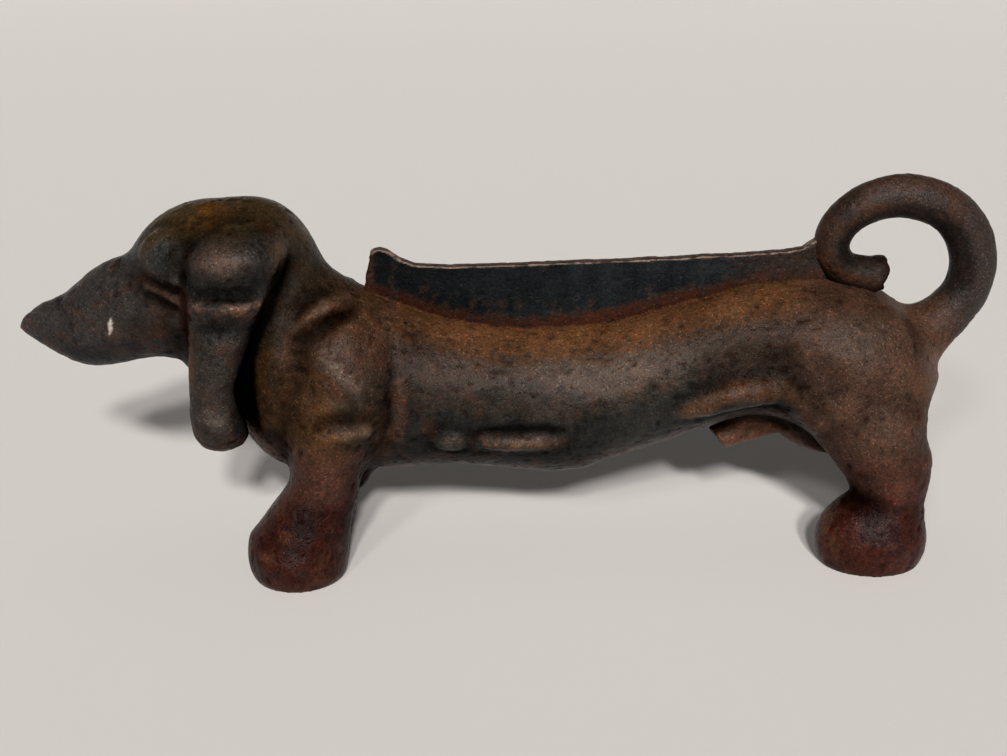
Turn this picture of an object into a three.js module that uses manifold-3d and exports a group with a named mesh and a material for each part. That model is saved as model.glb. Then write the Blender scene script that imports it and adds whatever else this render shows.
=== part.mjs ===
// Cast-iron boot scraper in the form of a standing dachshund.
// Millimetres, +Z up, the head points along -X, the soles stand on Z = 0.
//
// Two hollow body castings meet on the lengthwise mid-plane. A flat scraper blade
// and the tang of the hooked tail are clamped between them, and four cross screws
// hold the castings together from the right-hand side.

import * as THREE from 'three';
import { mergeVertices } from 'three/addons/utils/BufferGeometryUtils.js';
import Module from 'manifold-3d';

// ---------------------------------------------------------------- driving dimensions
const X_SHIFT = -1.78;          // brings the middle of the overall length to X = 0
const GAP = 0.3;                // clearance between neighbouring pieces
const WALL = 6;                 // nominal wall of the hollow castings
const BLADE_T = 7;              // scraper plate thickness
const TANG_T = 8;               // thickness of the tail's flat tang
const SCREW_D = 6.35;           // screw shank
const SCREW_HOLE_D = SCREW_D + 2 * GAP;
const HEAD_D = 11;              // cheese head
const HEAD_H = 4.5;
const HEAD_POCKET_D = 12.4;     // counterbore in the right casting
const SEAT_Y = 26;              // floor of the counterbores
const SHANK_END_Y = -26.5;      // tip of the screws in the left casting
const BOSS_D = 19;              // bosses inside the hollow
const FORE_BACKSET = 3;         // right fore leg stands this much further back
const HIND_BACKSET = 13;        // right hind leg stands this much further back

// screw axes run along Y; X, Z of each axis
const SCREWS = {
  neck_screw: [-110, 137],
  front_blade_screw: [-40, 115],
  rear_blade_screw: [118, 128],
  tail_screw: [211, 117],
};

// trunk: X, centre height, half height, half width
const TRUNK = [
  [-122, 104, 30, 24], [-104, 104, 43, 35], [-85, 103.5, 48, 38.5], [-60, 101, 47, 38.5],
  [-28, 97.3, 42, 38], [2, 93.5, 40.8, 38], [26, 92, 41.8, 38.5], [42, 92.6, 42.2, 38.5],
  [56, 95.8, 40, 38], [80, 103.2, 38.6, 38], [100, 109.4, 38, 38], [116, 114.2, 37.4, 38],
  [132, 119, 37, 38.5], [160, 121, 38.5, 39.5], [185, 118.5, 40, 40.5], [208, 113, 37.5, 39],
  [226, 107, 29, 31], [238, 103, 15, 16], [243.5, 102, 3, 4],
];
// muzzle: X, centre height, half height, half width
const MUZZLE = [
  [-266.6, 137.6, 0.8, 0.8], [-264, 137.8, 3.6, 3.2], [-260, 137.6, 6.8, 5.4], [-254, 138, 11, 8.5],
  [-248, 137.6, 14.6, 11.2], [-241, 137.6, 18.3, 14.6], [-234, 139, 22.4, 17.6], [-227, 141.2, 26, 20.2],
  [-218, 144.4, 28.6, 22.8], [-209, 146.8, 29.6, 25], [-199, 149.3, 29.6, 27.5], [-184, 151, 29.4, 30],
  [-170, 153, 25, 26],
];
// hanging ear: Z, centre X, centre Y, half length, half thickness
const EAR = [
  [78.5, -154, 42, 2, 1.5], [80, -153.6, 42, 8.5, 5], [83, -153, 41.5, 13, 8], [89, -153, 40.5, 15.4, 10.3],
  [96, -153.3, 40, 16.2, 12], [105, -153.2, 39.5, 16.4, 12.6], [122, -150.3, 38.6, 17.8, 11.8],
  [136, -147.6, 38, 19.6, 11], [144, -145.8, 37.6, 20.8, 10.2], [149, -144.8, 37.2, 21.4, 9.4],
  [154, -143.8, 37.2, 22.2, 10.4], [159, -142.8, 37.2, 23, 11.6], [163, -142, 36.6, 23.4, 10.6],
  [167, -141.2, 35.4, 24, 9.6], [172, -140, 34.5, 24.4, 11], [179, -139, 33, 24.4, 13.6],
  [186, -138.6, 30, 22, 13.6], [193, -138, 26, 16, 11], [198, -138, 22, 8, 6],
];
// tail bar: X, Z, radius along its centre line, from the root in the rump to the tip
const TAIL = [
  [228.5, 120.5, 16.2], [235, 128.6, 15.6], [247.1, 139.1, 14.3], [255.4, 151.7, 13.4], [257.2, 167.6, 12.8],
  [252.2, 184.5, 12.2], [239.2, 197.6, 11.6], [217.6, 204.2, 11.2], [197.8, 200.8, 10.6], [183.6, 190.6, 10.1],
  [179.2, 177.1, 9.7], [185.6, 165.6, 9.4], [199.5, 161.2, 9.2], [206.5, 161.4, 9],
];
// upper outline of the scraper blade: X, Z from the front corner to the tail
const BLADE_EDGE = [
  [-72.6, 172], [-71.6, 177.4], [-69.5, 179.4], [-66.5, 180], [-63.5, 179], [-58.3, 173.5], [-52.9, 170.2],
  [-28.4, 169.7], [12, 170.4], [53.4, 171.4], [92, 172.8], [132.4, 174.3], [158, 176.2], [172, 178.6],
];
const BLADE_DEPTH = 15;         // how far the blade's tongue reaches below the back line

// forms that make up the outside of the body; k is the radius of the blend into
// what is already there, and each off-centre form has a twin on the other side
const FORMS = [
  { kind: 'trunk', st: TRUNK, k: 0 },
  { kind: 'cone', a: [-146, 0, 152], b: [-100, 0, 108], ra: 47, rb: 50, sy: 0.74, k: 16 },      // neck
  { kind: 'egg', c: [-154.5, 0, 165], r: [49.5, 36, 43], k: 6 },                                // brow
  { kind: 'egg', c: [-135, 0, 165.4], r: [36, 34, 43.2], k: 6 },                                // back of the skull
  { kind: 'trunk', st: MUZZLE.slice(4).map(([x, z, h, w]) => [x, z, x < -212 ? h - 2 : h, x < -212 ? w - 2 : w]), k: 7 }, // muzzle, behind the nose
  { kind: 'egg', c: [-92, 24, 108], r: [31, 20.5, 44], turn: 6, k: 7 },                         // shoulder
  { kind: 'egg', c: [-111.5, 0, 87], r: [33, 33, 31], k: 12 },                                  // chest
  { kind: 'cone', a: [194, 22, 106], b: [212, 26, 60], ra: 37, rb: 21.5, sy: 0.58, k: 14, hind: 0.55 }, // thigh
  { kind: 'egg', c: [-97, 0, 62], r: [24, 18, 30], k: 8 },                                      // web between the fore legs
  { kind: 'egg', c: [194, 0, 87], r: [44, 16, 32], k: 8 },                                      // web between the thighs
  { kind: 'cone', a: [-93, 28, 90], b: [-100.5, 30, 50], ra: 22, rb: 18.5, k: 10, fore: 1 },    // fore leg
  { kind: 'cone', a: [-100.5, 30, 50], b: [-116, 30.5, 14], ra: 18.2, rb: 28, k: 4, side: -1 }, // left fore foot
  { kind: 'cone', a: [-97, 30, 44], b: [-111.5, 33.5, 12], ra: 17.4, rb: 25, k: 4, side: 1 },   // right fore foot
  { kind: 'cone', a: [209, 26, 80], b: [214, 25.5, 50], ra: 21, rb: 19.5, k: 10, hind: 1 },     // hind leg
  { kind: 'egg', c: [224, 25, 62], r: [12, 14, 13], k: 7, hind: 0.6 },                          // hock
  { kind: 'cone', a: [214, 25.5, 50], b: [214, 25, 34], ra: 19.5, rb: 19.5, k: 5, hind: 1 },    // pastern
  { kind: 'egg', c: [206, 25, 14], r: [31, 24.5, 29], k: 7, side: -1 },                         // left hind foot
  { kind: 'egg', c: [224, 26, 9], r: [27, 23.5, 24], k: 7, side: 1 },                           // right hind foot
  { kind: 'rope', p: [[94, 33, 103, 3], [108, 32, 104, 7.5], [122, 32, 104, 9.5], [137, 32, 106, 9.5],
    [149, 32, 108, 8], [160, 31, 104, 7], [172, 30, 90, 7]], k: 5 },                            // flank fold
  { kind: 'flap', st: EAR, k: 4 },                                                              // ear
  { kind: 'egg', c: [-139, 26, 180.5], r: [25.5, 22, 18.5], turn: -10, k: 11 },                 // root of the ear
  { kind: 'rope', p: [[-106, 37, 137, 2.5], [-93, 36, 145.6, 4], [-80, 28, 155, 2.5]], k: 7, cut: true }, // fold of the neck
];

// small forms that stand on the body: centre, half axes, turn about Y
const EYE = { c: [-178, 27.5, 185], r: [10, 6, 8], turn: 25 };
const FLANK_RIDGE = { c: [0, 31, 79.5], r: [38, 8.5, 6.5], turn: 0 };
const STUB = { a: [118.5, -1.5, 67.4], b: [160, -1.5, 77.5], d: 13.2 };

// the hollow runs through the skull, neck, trunk and haunches; feet, ears and muzzle are solid
const HOLLOWED = FORMS.slice(0, 8);
const HOLLOW_FLOOR_Z = 50;
const HOLLOW_FRONT_X = -196;

// ---------------------------------------------------------------- distance fields
const clamp = THREE.MathUtils.clamp;
const blend = (a, b, k) => {
  if (k <= 0) return Math.min(a, b);
  const h = Math.max(k - Math.abs(a - b), 0) / k;
  return Math.min(a, b) - h * h * k * 0.25;
};

// smooth monotone interpolation through a table of stations
function spline(st) {
  const n = st.length, m = st[0].length - 1;
  const x = st.map((s) => s[0]);
  const d = [];
  for (let i = 0; i + 1 < n; i++) d.push(st[i].slice(1).map((v, j) => (st[i + 1][j + 1] - v) / (x[i + 1] - x[i])));
  const t = st.map(() => new Array(m).fill(0));
  for (let j = 0; j < m; j++) {
    t[0][j] = d[0][j];
    t[n - 1][j] = d[n - 2][j];
    for (let i = 1; i + 1 < n; i++) {
      const a = d[i - 1][j], b = d[i][j], h0 = x[i] - x[i - 1], h1 = x[i + 1] - x[i];
      if (a * b > 0) {
        const w1 = 2 * h1 + h0, w2 = h1 + 2 * h0;
        t[i][j] = (w1 + w2) / (w1 / a + w2 / b);
      }
    }
  }
  return (q) => {
    let i = 0;
    while (i < n - 2 && q > x[i + 1]) i++;
    const h = x[i + 1] - x[i], s = clamp((q - x[i]) / h, 0, 1), s2 = s * s, s3 = s2 * s;
    const out = [];
    for (let j = 0; j < m; j++) {
      out.push((2 * s3 - 3 * s2 + 1) * st[i][j + 1] + (s3 - 2 * s2 + s) * h * t[i][j]
        + (-2 * s3 + 3 * s2) * st[i + 1][j + 1] + (s3 - s2) * h * t[i + 1][j]);
    }
    return out;
  };
}

// distance to an ellipse of half axes a, b at offsets u, v from its centre
function ellipse(u, v, a, b) {
  const q = Math.hypot(u / a, v / b), g = Math.hypot(u / (a * a), v / (b * b));
  return q * (q - 1) / Math.max(g, 1e-6);
}
function ropePiece(x, y, z, a, b, ra, rb, sy = 1) {
  const bx = b[0] - a[0], by = (b[1] - a[1]) / sy, bz = b[2] - a[2];
  const px = x - a[0], py = (y - a[1]) / sy, pz = z - a[2];
  const t = clamp((px * bx + py * by + pz * bz) / (bx * bx + by * by + bz * bz), 0, 1);
  return (Math.hypot(px - t * bx, py - t * by, pz - t * bz) - (ra + t * (rb - ra))) * Math.min(1, sy);
}
const DISTANCE = {
  trunk(f) {
    const at = spline(f.st), x0 = f.st[0][0], x1 = f.st[f.st.length - 1][0];
    return (x, y, z) => {
      const [c, h, w] = at(x);
      const d = ellipse(y, z - c, Math.max(w, 0.3), Math.max(h, 0.3));
      const e = Math.max(x0 - x, x - x1, 0);
      return e > 0 ? Math.hypot(e, Math.max(d, 0)) : d;
    };
  },
  flap(f) {
    const at = spline(f.st), z0 = f.st[0][0], z1 = f.st[f.st.length - 1][0];
    return (x, y, z) => {
      const [cx, cy, a, b] = at(z);
      const d = ellipse(x - cx, y - cy, Math.max(a, 0.3), Math.max(b, 0.3));
      const e = Math.max(z0 - z, z - z1, 0);
      return e > 0 ? Math.hypot(e, Math.max(d, 0)) : d;
    };
  },
  egg(f) {
    const s = Math.sin(THREE.MathUtils.degToRad(f.turn ?? 0)), c = Math.cos(THREE.MathUtils.degToRad(f.turn ?? 0));
    const [rx, ry, rz] = f.r;
    return (x, y, z) => {
      const u = x - f.c[0], v = y - f.c[1], w = z - f.c[2];
      const p = c * u - s * w, q = s * u + c * w;
      const k0 = Math.hypot(p / rx, v / ry, q / rz), k1 = Math.hypot(p / (rx * rx), v / (ry * ry), q / (rz * rz));
      return k0 * (k0 - 1) / Math.max(k1, 1e-6);
    };
  },
  cone: (f) => (x, y, z) => ropePiece(x, y, z, f.a, f.b, f.ra, f.rb, f.sy),
  rope: (f) => (x, y, z) => {
    let d = Infinity;
    for (let i = 0; i + 1 < f.p.length; i++) d = Math.min(d, ropePiece(x, y, z, f.p[i], f.p[i + 1], f.p[i][3], f.p[i + 1][3]));
    return d;
  },
};
const onMidPlane = (f) => f.kind === 'trunk' || (f.kind === 'egg' && f.c[1] === 0) || (f.kind === 'cone' && f.a[1] === 0);

// one function of x, y, z, negative inside, for a list of forms
function field(forms) {
  const parts = [];
  for (const f of forms) {
    const d = DISTANCE[f.kind](f);
    if (onMidPlane(f)) { parts.push([d, f.k, f.cut]); continue; }
    const back = f.hind ? HIND_BACKSET * f.hind : f.fore ? FORE_BACKSET * f.fore : 0;
    if (f.side !== 1) parts.push([(x, y, z) => d(x, -y, z), f.k, f.cut]);
    if (f.side !== -1) parts.push([(x, y, z) => d(x - back, y, z), f.k, f.cut]);
  }
  return (x, y, z) => {
    let v = 1e3;
    for (const [d, k, cut] of parts) v = cut ? -blend(-v, d(x, y, z), k) : blend(v, d(x, y, z), k);
    return v;
  };
}

// ---------------------------------------------------------------- surface of a field
// grid lines: runs of [start, step], ending at the last value
function lines(runs, end) {
  const out = [];
  runs.forEach(([start, step], i) => {
    const stop = i + 1 < runs.length ? runs[i + 1][0] : end;
    const n = Math.max(1, Math.round((stop - start) / step));
    for (let j = 0; j < n; j++) out.push(start + (stop - start) * j / n);
  });
  out.push(end);
  return out;
}
function skin(f, xs, ys, zs) {
  const nx = xs.length, ny = ys.length, nz = zs.length;
  const at = (i, j, k) => (i * ny + j) * nz + k;
  const val = new Float64Array(nx * ny * nz);
  for (let i = 0; i < nx; i++) for (let j = 0; j < ny; j++) for (let k = 0; k < nz; k++) {
    const v = f(xs[i], ys[j], zs[k]);
    val[at(i, j, k)] = Math.abs(v) < 1e-4 ? 1e-4 : v;
  }
  // where two corners of a grid face touch only across its diagonal, fill the shallower gap
  for (let again = true; again;) {
    again = false;
    for (let i = 0; i + 1 < nx; i++) for (let j = 0; j + 1 < ny; j++) for (let k = 0; k + 1 < nz; k++) {
      for (const [a, b] of [[at(1, 0, 0), at(0, 1, 0)], [at(0, 1, 0), at(0, 0, 1)], [at(0, 0, 1), at(1, 0, 0)]]) {
        const o = at(i, j, k), f = [o, o + a, o + a + b, o + b], s = f.map((q) => val[q] < 0);
        if (s[0] !== s[2] || s[1] !== s[3] || s[0] === s[1]) continue;
        const out = f.filter((q) => val[q] >= 0);
        val[val[out[0]] < val[out[1]] ? out[0] : out[1]] = -0.02;
        again = true;
      }
    }
  }
  const id = new Int32Array(nx * ny * nz).fill(-1), pos = [];
  const p = new THREE.Vector3(), g = new THREE.Vector3();
  for (let i = 0; i + 1 < nx; i++) for (let j = 0; j + 1 < ny; j++) for (let k = 0; k + 1 < nz; k++) {
    let n = 0;
    p.set(0, 0, 0);
    for (let e = 0; e < 12; e++) {
      const ax = e >> 2, u = e & 1, v = (e >> 1) & 1;
      const a = [0, 0, 0], b = [0, 0, 0];
      a[(ax + 1) % 3] = b[(ax + 1) % 3] = u;
      a[(ax + 2) % 3] = b[(ax + 2) % 3] = v;
      b[ax] = 1;
      const va = val[at(i + a[0], j + a[1], k + a[2])], vb = val[at(i + b[0], j + b[1], k + b[2])];
      if ((va < 0) === (vb < 0)) continue;
      const t = va / (va - vb);
      p.x += xs[i + a[0]] + (xs[i + b[0]] - xs[i + a[0]]) * t;
      p.y += ys[j + a[1]] + (ys[j + b[1]] - ys[j + a[1]]) * t;
      p.z += zs[k + a[2]] + (zs[k + b[2]] - zs[k + a[2]]) * t;
      n++;
    }
    if (!n) continue;
    p.multiplyScalar(1 / n);
    // settle the point on the surface, within its cell
    for (let s = 0; s < 2; s++) {
      const h = 0.2, v = f(p.x, p.y, p.z);
      g.set(f(p.x + h, p.y, p.z) - v, f(p.x, p.y + h, p.z) - v, f(p.x, p.y, p.z + h) - v).multiplyScalar(1 / h);
      const l = g.lengthSq();
      if (l > 0.05) p.addScaledVector(g, clamp(-v / l, -1, 1));
    }
    p.x = clamp(p.x, xs[i] + 0.05, xs[i + 1] - 0.05);
    p.y = clamp(p.y, ys[j] + 0.05, ys[j + 1] - 0.05);
    p.z = clamp(p.z, zs[k] + 0.05, zs[k + 1] - 0.05);
    id[at(i, j, k)] = pos.length / 3;
    pos.push(p.x, p.y, p.z);
  }
  const tris = [], A = new THREE.Vector3(), B = new THREE.Vector3();
  const far = (a, b) => A.fromArray(pos, a * 3).distanceToSquared(B.fromArray(pos, b * 3));
  const quad = (a, b, c, d, flip) => {
    if (flip) [b, d] = [d, b];
    if (far(a, c) < far(b, d)) tris.push(a, b, c, a, c, d); else tris.push(a, b, d, b, c, d);
  };
  for (let i = 1; i + 1 < nx; i++) for (let j = 1; j + 1 < ny; j++) for (let k = 1; k + 1 < nz; k++) {
    const v = val[at(i, j, k)] < 0;
    if (v !== (val[at(i + 1, j, k)] < 0)) quad(id[at(i, j - 1, k - 1)], id[at(i, j, k - 1)], id[at(i, j, k)], id[at(i, j - 1, k)], !v);
    if (v !== (val[at(i, j + 1, k)] < 0)) quad(id[at(i - 1, j, k - 1)], id[at(i - 1, j, k)], id[at(i, j, k)], id[at(i, j, k - 1)], !v);
    if (v !== (val[at(i, j, k + 1)] < 0)) quad(id[at(i - 1, j - 1, k)], id[at(i, j - 1, k)], id[at(i, j, k)], id[at(i - 1, j, k)], !v);
  }
  const geo = new THREE.BufferGeometry();
  geo.setAttribute('position', new THREE.Float32BufferAttribute(pos, 3));
  geo.setIndex(tris);
  return geo;
}

// ---------------------------------------------------------------- solids
const wasm = await Module();
wasm.setup();
function solid(geometry) {
  const g = geometry.clone();
  g.deleteAttribute('normal');
  g.deleteAttribute('uv');
  const m = mergeVertices(g, 1e-4);
  return new wasm.Manifold(new wasm.Mesh({
    numProp: 3,
    vertProperties: new Float32Array(m.attributes.position.array),
    triVerts: new Uint32Array(m.index.array),
  }));
}
function geometryOf(s) {
  const m = s.getMesh(), geo = new THREE.BufferGeometry();
  const pos = new Float32Array(m.vertProperties.length / m.numProp * 3);
  for (let i = 0; i < pos.length / 3; i++) for (let c = 0; c < 3; c++) pos[i * 3 + c] = m.vertProperties[i * m.numProp + c];
  geo.setAttribute('position', new THREE.BufferAttribute(pos, 3));
  geo.setIndex(Array.from(m.triVerts));
  return geo;
}
const block = (x0, x1, y0, y1, z0, z1) => solid(new THREE.BoxGeometry(x1 - x0, y1 - y0, z1 - z0)
  .translate((x0 + x1) / 2, (y0 + y1) / 2, (z0 + z1) / 2));
// round bar along Y between two values of Y
const crossBar = (x, z, d, y0, y1, n = 16) => solid(new THREE.CylinderGeometry(d / 2, d / 2, y1 - y0, n).translate(x, (y0 + y1) / 2, z));
// flat plate on the mid-plane, outlined in X and Z
function plate(outline, t) {
  const shape = new THREE.Shape(outline.map(([x, z]) => new THREE.Vector2(x, z)));
  const g = new THREE.ExtrudeGeometry(shape, { depth: t, bevelEnabled: false });
  return solid(g.rotateX(Math.PI / 2).translate(0, t / 2, 0));
}
// the outline moved outwards by d
function grown(outline, d) {
  let area = 0;
  const n = outline.length;
  outline.forEach(([x, z], i) => { const [a, b] = outline[(i + 1) % n]; area += x * b - a * z; });
  const s = area > 0 ? 1 : -1;
  return outline.map(([x, z], i) => {
    const [x0, z0] = outline[(i + n - 1) % n], [x1, z1] = outline[(i + 1) % n];
    const a = new THREE.Vector2(x - x0, z - z0).normalize(), b = new THREE.Vector2(x1 - x, z1 - z).normalize();
    const na = new THREE.Vector2(a.y * s, -a.x * s), nb = new THREE.Vector2(b.y * s, -b.x * s);
    const m = na.clone().add(nb).normalize(), q = d / Math.max(m.dot(na), 0.5);
    return [x + m.x * q, z + m.y * q];
  });
}
// tapered round bar along a curve in the mid-plane, blunt at both ends
function bar(stations, extra, around = 16, perSpan = 2) {
  const path = new THREE.CatmullRomCurve3(stations.map(([x, z]) => new THREE.Vector3(x, 0, z)), false, 'centripetal');
  const rings = [], n = (stations.length - 1) * perSpan;
  for (let i = 0; i <= n; i++) {
    const t = i / n, q = t * (stations.length - 1), a = Math.min(Math.floor(q), stations.length - 2);
    const r = THREE.MathUtils.lerp(stations[a][2], stations[a + 1][2], q - a);
    rings.push([path.getPoint(t), path.getTangent(t), r + extra]);
  }
  const [tip, dir, r] = rings[n];
  rings[n][0] = tip.clone().addScaledVector(dir, extra);
  rings.push([tip.clone().addScaledVector(dir, 1.6 + extra), dir, r * 0.8]);
  const pos = [], tris = [];
  for (const [c, t, q] of rings) {
    const u = new THREE.Vector3(-t.z, 0, t.x);
    for (let j = 0; j < around; j++) {
      const w = 2 * Math.PI * j / around;
      pos.push(c.x + u.x * q * Math.cos(w), q * Math.sin(w), c.z + u.z * q * Math.cos(w));
    }
  }
  for (let i = 0; i + 1 < rings.length; i++) for (let j = 0; j < around; j++) {
    const a = i * around + j, b = i * around + (j + 1) % around;
    tris.push(a, a + around, b, b, a + around, b + around);
  }
  const end = (rings.length - 1) * around;
  for (let j = 1; j + 1 < around; j++) tris.push(0, j, j + 1, end, end + j + 1, end + j);
  const geo = new THREE.BufferGeometry();
  geo.setAttribute('position', new THREE.Float32BufferAttribute(pos, 3));
  geo.setIndex(tris);
  return solid(geo);
}

// elliptical rings along X through a table of stations, closed at both ends
function nose(stations, around = 20) {
  const at = spline(stations), pos = [], tris = [], xs = [];
  for (let i = 0; i + 1 < stations.length; i++) xs.push(stations[i][0], (stations[i][0] + stations[i + 1][0]) / 2);
  const rings = xs.filter((x, i) => x < -240 || i % 2 === 0).map((x) => [x, ...at(x)]);
  for (const [x, c, h, w] of rings) for (let j = 0; j < around; j++) {
    const q = 2 * Math.PI * j / around;
    pos.push(x, w * Math.cos(q), c + h * Math.sin(q));
  }
  for (let i = 0; i + 1 < rings.length; i++) for (let j = 0; j < around; j++) {
    const a = i * around + j, b = i * around + (j + 1) % around;
    tris.push(a, b, a + around, b, b + around, a + around);
  }
  const end = (rings.length - 1) * around;
  for (let j = 1; j + 1 < around; j++) tris.push(0, j + 1, j, end, end + j, end + j + 1);
  const geo = new THREE.BufferGeometry();
  geo.setAttribute('position', new THREE.Float32BufferAttribute(pos, 3));
  geo.setIndex(tris);
  return solid(geo);
}
// an egg-shaped swelling on one side of the body
const swelling = ({ c, r, turn }, side, w, h) => solid(new THREE.SphereGeometry(1, w, h).rotateX(Math.PI / 2).scale(...r)
  .rotateY(THREE.MathUtils.degToRad(turn)).translate(c[0], side * c[1], c[2]));
function roundBar({ a, b, d }, n) {
  const p = new THREE.Vector3(...a), q = new THREE.Vector3(...b), axis = q.clone().sub(p);
  const g = new THREE.CylinderGeometry(d / 2, d / 2, axis.length(), n);
  g.applyQuaternion(new THREE.Quaternion().setFromUnitVectors(new THREE.Vector3(0, 1, 0), axis.clone().normalize()));
  return solid(g.translate(...p.add(q).multiplyScalar(0.5).toArray()));
}

// ---------------------------------------------------------------- blade
const backLine = spline(TRUNK);
const backZ = (x) => { const [c, h] = backLine(x); return c + h; };
const lug = ([sx, sz], r) => {
  const out = [];
  for (let i = 0; i <= 8; i++) out.push([sx - r * Math.cos(Math.PI * i / 8), sz - r * Math.sin(Math.PI * i / 8)]);
  return out;
};
const bladeFront = -72.6, bladeRear = 172;
const underside = [];
const [fx] = SCREWS.front_blade_screw, [rx] = SCREWS.rear_blade_screw, lugR = BOSS_D / 2 + 2;
for (const x of [bladeFront, -62]) underside.push([x, backZ(x) - BLADE_DEPTH]);
underside.push([fx - lugR, backZ(fx - lugR) - BLADE_DEPTH], ...lug(SCREWS.front_blade_screw, lugR), [fx + lugR, backZ(fx + lugR) - BLADE_DEPTH]);
for (const x of [0, 26, 54, 82]) underside.push([x, backZ(x) - BLADE_DEPTH]);
underside.push([rx - lugR, backZ(rx - lugR) - BLADE_DEPTH], ...lug(SCREWS.rear_blade_screw, lugR), [rx + lugR, backZ(rx + lugR) - BLADE_DEPTH]);
for (const x of [150, bladeRear]) underside.push([x, backZ(x) - BLADE_DEPTH]);
const bladeOutline = [...underside, ...[...BLADE_EDGE].reverse()];

// ---------------------------------------------------------------- tail
const [tx, tz] = SCREWS.tail_screw;
const tangOutline = [
  ...lug(SCREWS.tail_screw, lugR).slice(1, 8), [224, 112], [234, 118], [238, 126], [230, 133], [222, 131],
  [tx + 3, tz + lugR], [tx - 4, tz + lugR], [tx - lugR + 1, tz + 5],
];
const tailCut = bar(TAIL, GAP + 0.1).add(plate(grown(tangOutline, GAP + 0.1), TANG_T + 2 * GAP));

const shank = (name, d = SCREW_HOLE_D) => crossBar(...SCREWS[name], d, -60, 60);
const tail = bar(TAIL, 0).add(plate(tangOutline, TANG_T)).subtract(shank('tail_screw'));
const blade = plate(bladeOutline, BLADE_T)
  .subtract(tailCut).subtract(shank('front_blade_screw')).subtract(shank('rear_blade_screw'));
const bladeCut = plate(grown(bladeOutline, GAP + 0.05), BLADE_T + 2 * GAP);

// ---------------------------------------------------------------- body castings
let outside = solid(skin(field(FORMS),
  lines([[-285, 10], [-265, 6], [-253, 8.5], [-150, 9.5], [-60, 15], [92, 10], [170, 9.2]], 262),
  lines([[-70, 8.75]], 70),
  lines([[-26, 8.6], [60, 8.62], [137.6, 8.84]], 226)));
outside = outside.add(nose(MUZZLE.slice(0, 11))).add(roundBar(STUB, 16));
for (const side of [-1, 1]) outside = outside.add(swelling(EYE, side, 14, 9)).add(swelling(FLANK_RIDGE, side, 20, 8));
const inside = field(HOLLOWED);
let hollow = solid(skin((x, y, z) => Math.max(inside(x, y, z) + WALL, HOLLOW_FLOOR_Z - z, HOLLOW_FRONT_X - x),
  lines([[-225, 15], [-60, 24], [90, 17]], 260), lines([[-60, 12]], 60), lines([[24, 13.5]], 226)));
for (const xz of Object.values(SCREWS)) hollow = hollow.subtract(crossBar(...xz, BOSS_D, -60, 60, 18));

let shell = outside.intersect(block(-400, 400, -200, 200, 0, 400)).subtract(hollow).subtract(bladeCut).subtract(tailCut);
for (const [x, z] of Object.values(SCREWS)) {
  shell = shell.subtract(crossBar(x, z, SCREW_HOLE_D, SHANK_END_Y - 1, 60)).subtract(crossBar(x, z, HEAD_POCKET_D, SEAT_Y, 90));
}
const leftBody = shell.intersect(block(-400, 400, -200, -GAP / 2, -10, 400));
const rightBody = shell.intersect(block(-400, 400, GAP / 2, 200, -10, 400));

// ---------------------------------------------------------------- screws
function screw([x, z], turn) {
  const seat = SEAT_Y + GAP;
  const slot = solid(new THREE.BoxGeometry(1.6, 4, HEAD_D + 4).rotateY(turn).translate(x, seat + HEAD_H - 1.8 + 2, z));
  return crossBar(x, z, SCREW_D, SHANK_END_Y, seat + 1).add(crossBar(x, z, HEAD_D, seat, seat + HEAD_H, 24)).subtract(slot);
}

// ---------------------------------------------------------------- assembly
const iron = (color, roughness, metalness) => new THREE.MeshStandardMaterial({ color, roughness, metalness });
const scraper = new THREE.Group();
scraper.name = 'boot_scraper';
scraper.position.x = X_SHIFT;
function piece(name, s, material) {
  const mesh = new THREE.Mesh(geometryOf(s), material);
  mesh.name = name;
  mesh.geometry.computeVertexNormals();
  scraper.add(mesh);
}
piece('left_body_casting', leftBody, iron(0x5a3c30, 0.78, 0.35));
piece('right_body_casting', rightBody, iron(0x573a2f, 0.78, 0.35));
piece('scraper_blade', blade, iron(0x2c2e33, 0.62, 0.4));
piece('tail_hook', tail, iron(0x3f2f2a, 0.7, 0.4));
piece('neck_screw', screw(SCREWS.neck_screw, 0.5), iron(0x4a3a33, 0.6, 0.7));
piece('front_blade_screw', screw(SCREWS.front_blade_screw, 1.3), iron(0x4a3a33, 0.6, 0.7));
piece('rear_blade_screw', screw(SCREWS.rear_blade_screw, 2.2), iron(0x4a3a33, 0.6, 0.7));
piece('tail_screw', screw(SCREWS.tail_screw, 0.9), iron(0x4a3a33, 0.6, 0.7));

export default scraper;
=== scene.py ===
"""Looks of a cast-iron boot scraper in the shape of a dachshund.

The castings, the blade, the tail and the screws are sculpted as distance fields
in millimetres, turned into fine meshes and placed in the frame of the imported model.
"""

import math

import bmesh
import bpy
import numpy as np
from mathutils import Matrix, Vector


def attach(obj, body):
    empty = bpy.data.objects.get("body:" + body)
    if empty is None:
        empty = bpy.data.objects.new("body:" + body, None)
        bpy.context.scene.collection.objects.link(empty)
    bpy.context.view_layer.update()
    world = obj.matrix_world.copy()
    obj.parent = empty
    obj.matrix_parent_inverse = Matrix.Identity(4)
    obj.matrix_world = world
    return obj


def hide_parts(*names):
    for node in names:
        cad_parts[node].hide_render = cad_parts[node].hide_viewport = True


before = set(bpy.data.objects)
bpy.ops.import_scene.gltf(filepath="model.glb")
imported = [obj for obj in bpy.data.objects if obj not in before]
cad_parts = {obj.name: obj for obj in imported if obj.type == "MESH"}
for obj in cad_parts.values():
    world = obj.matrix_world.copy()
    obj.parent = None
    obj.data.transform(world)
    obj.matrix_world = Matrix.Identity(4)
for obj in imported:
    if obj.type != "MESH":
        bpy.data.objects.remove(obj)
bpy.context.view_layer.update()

BODY_VOX = 1.2
BLADE_VOX = 0.8
TAIL_VOX = 0.95
SCREW_VOX = 0.45

X_SHIFT = -1.78
SEAM = 0.05
BLADE_T = 7.0
HIND_BACKSET = 13.0

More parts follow.
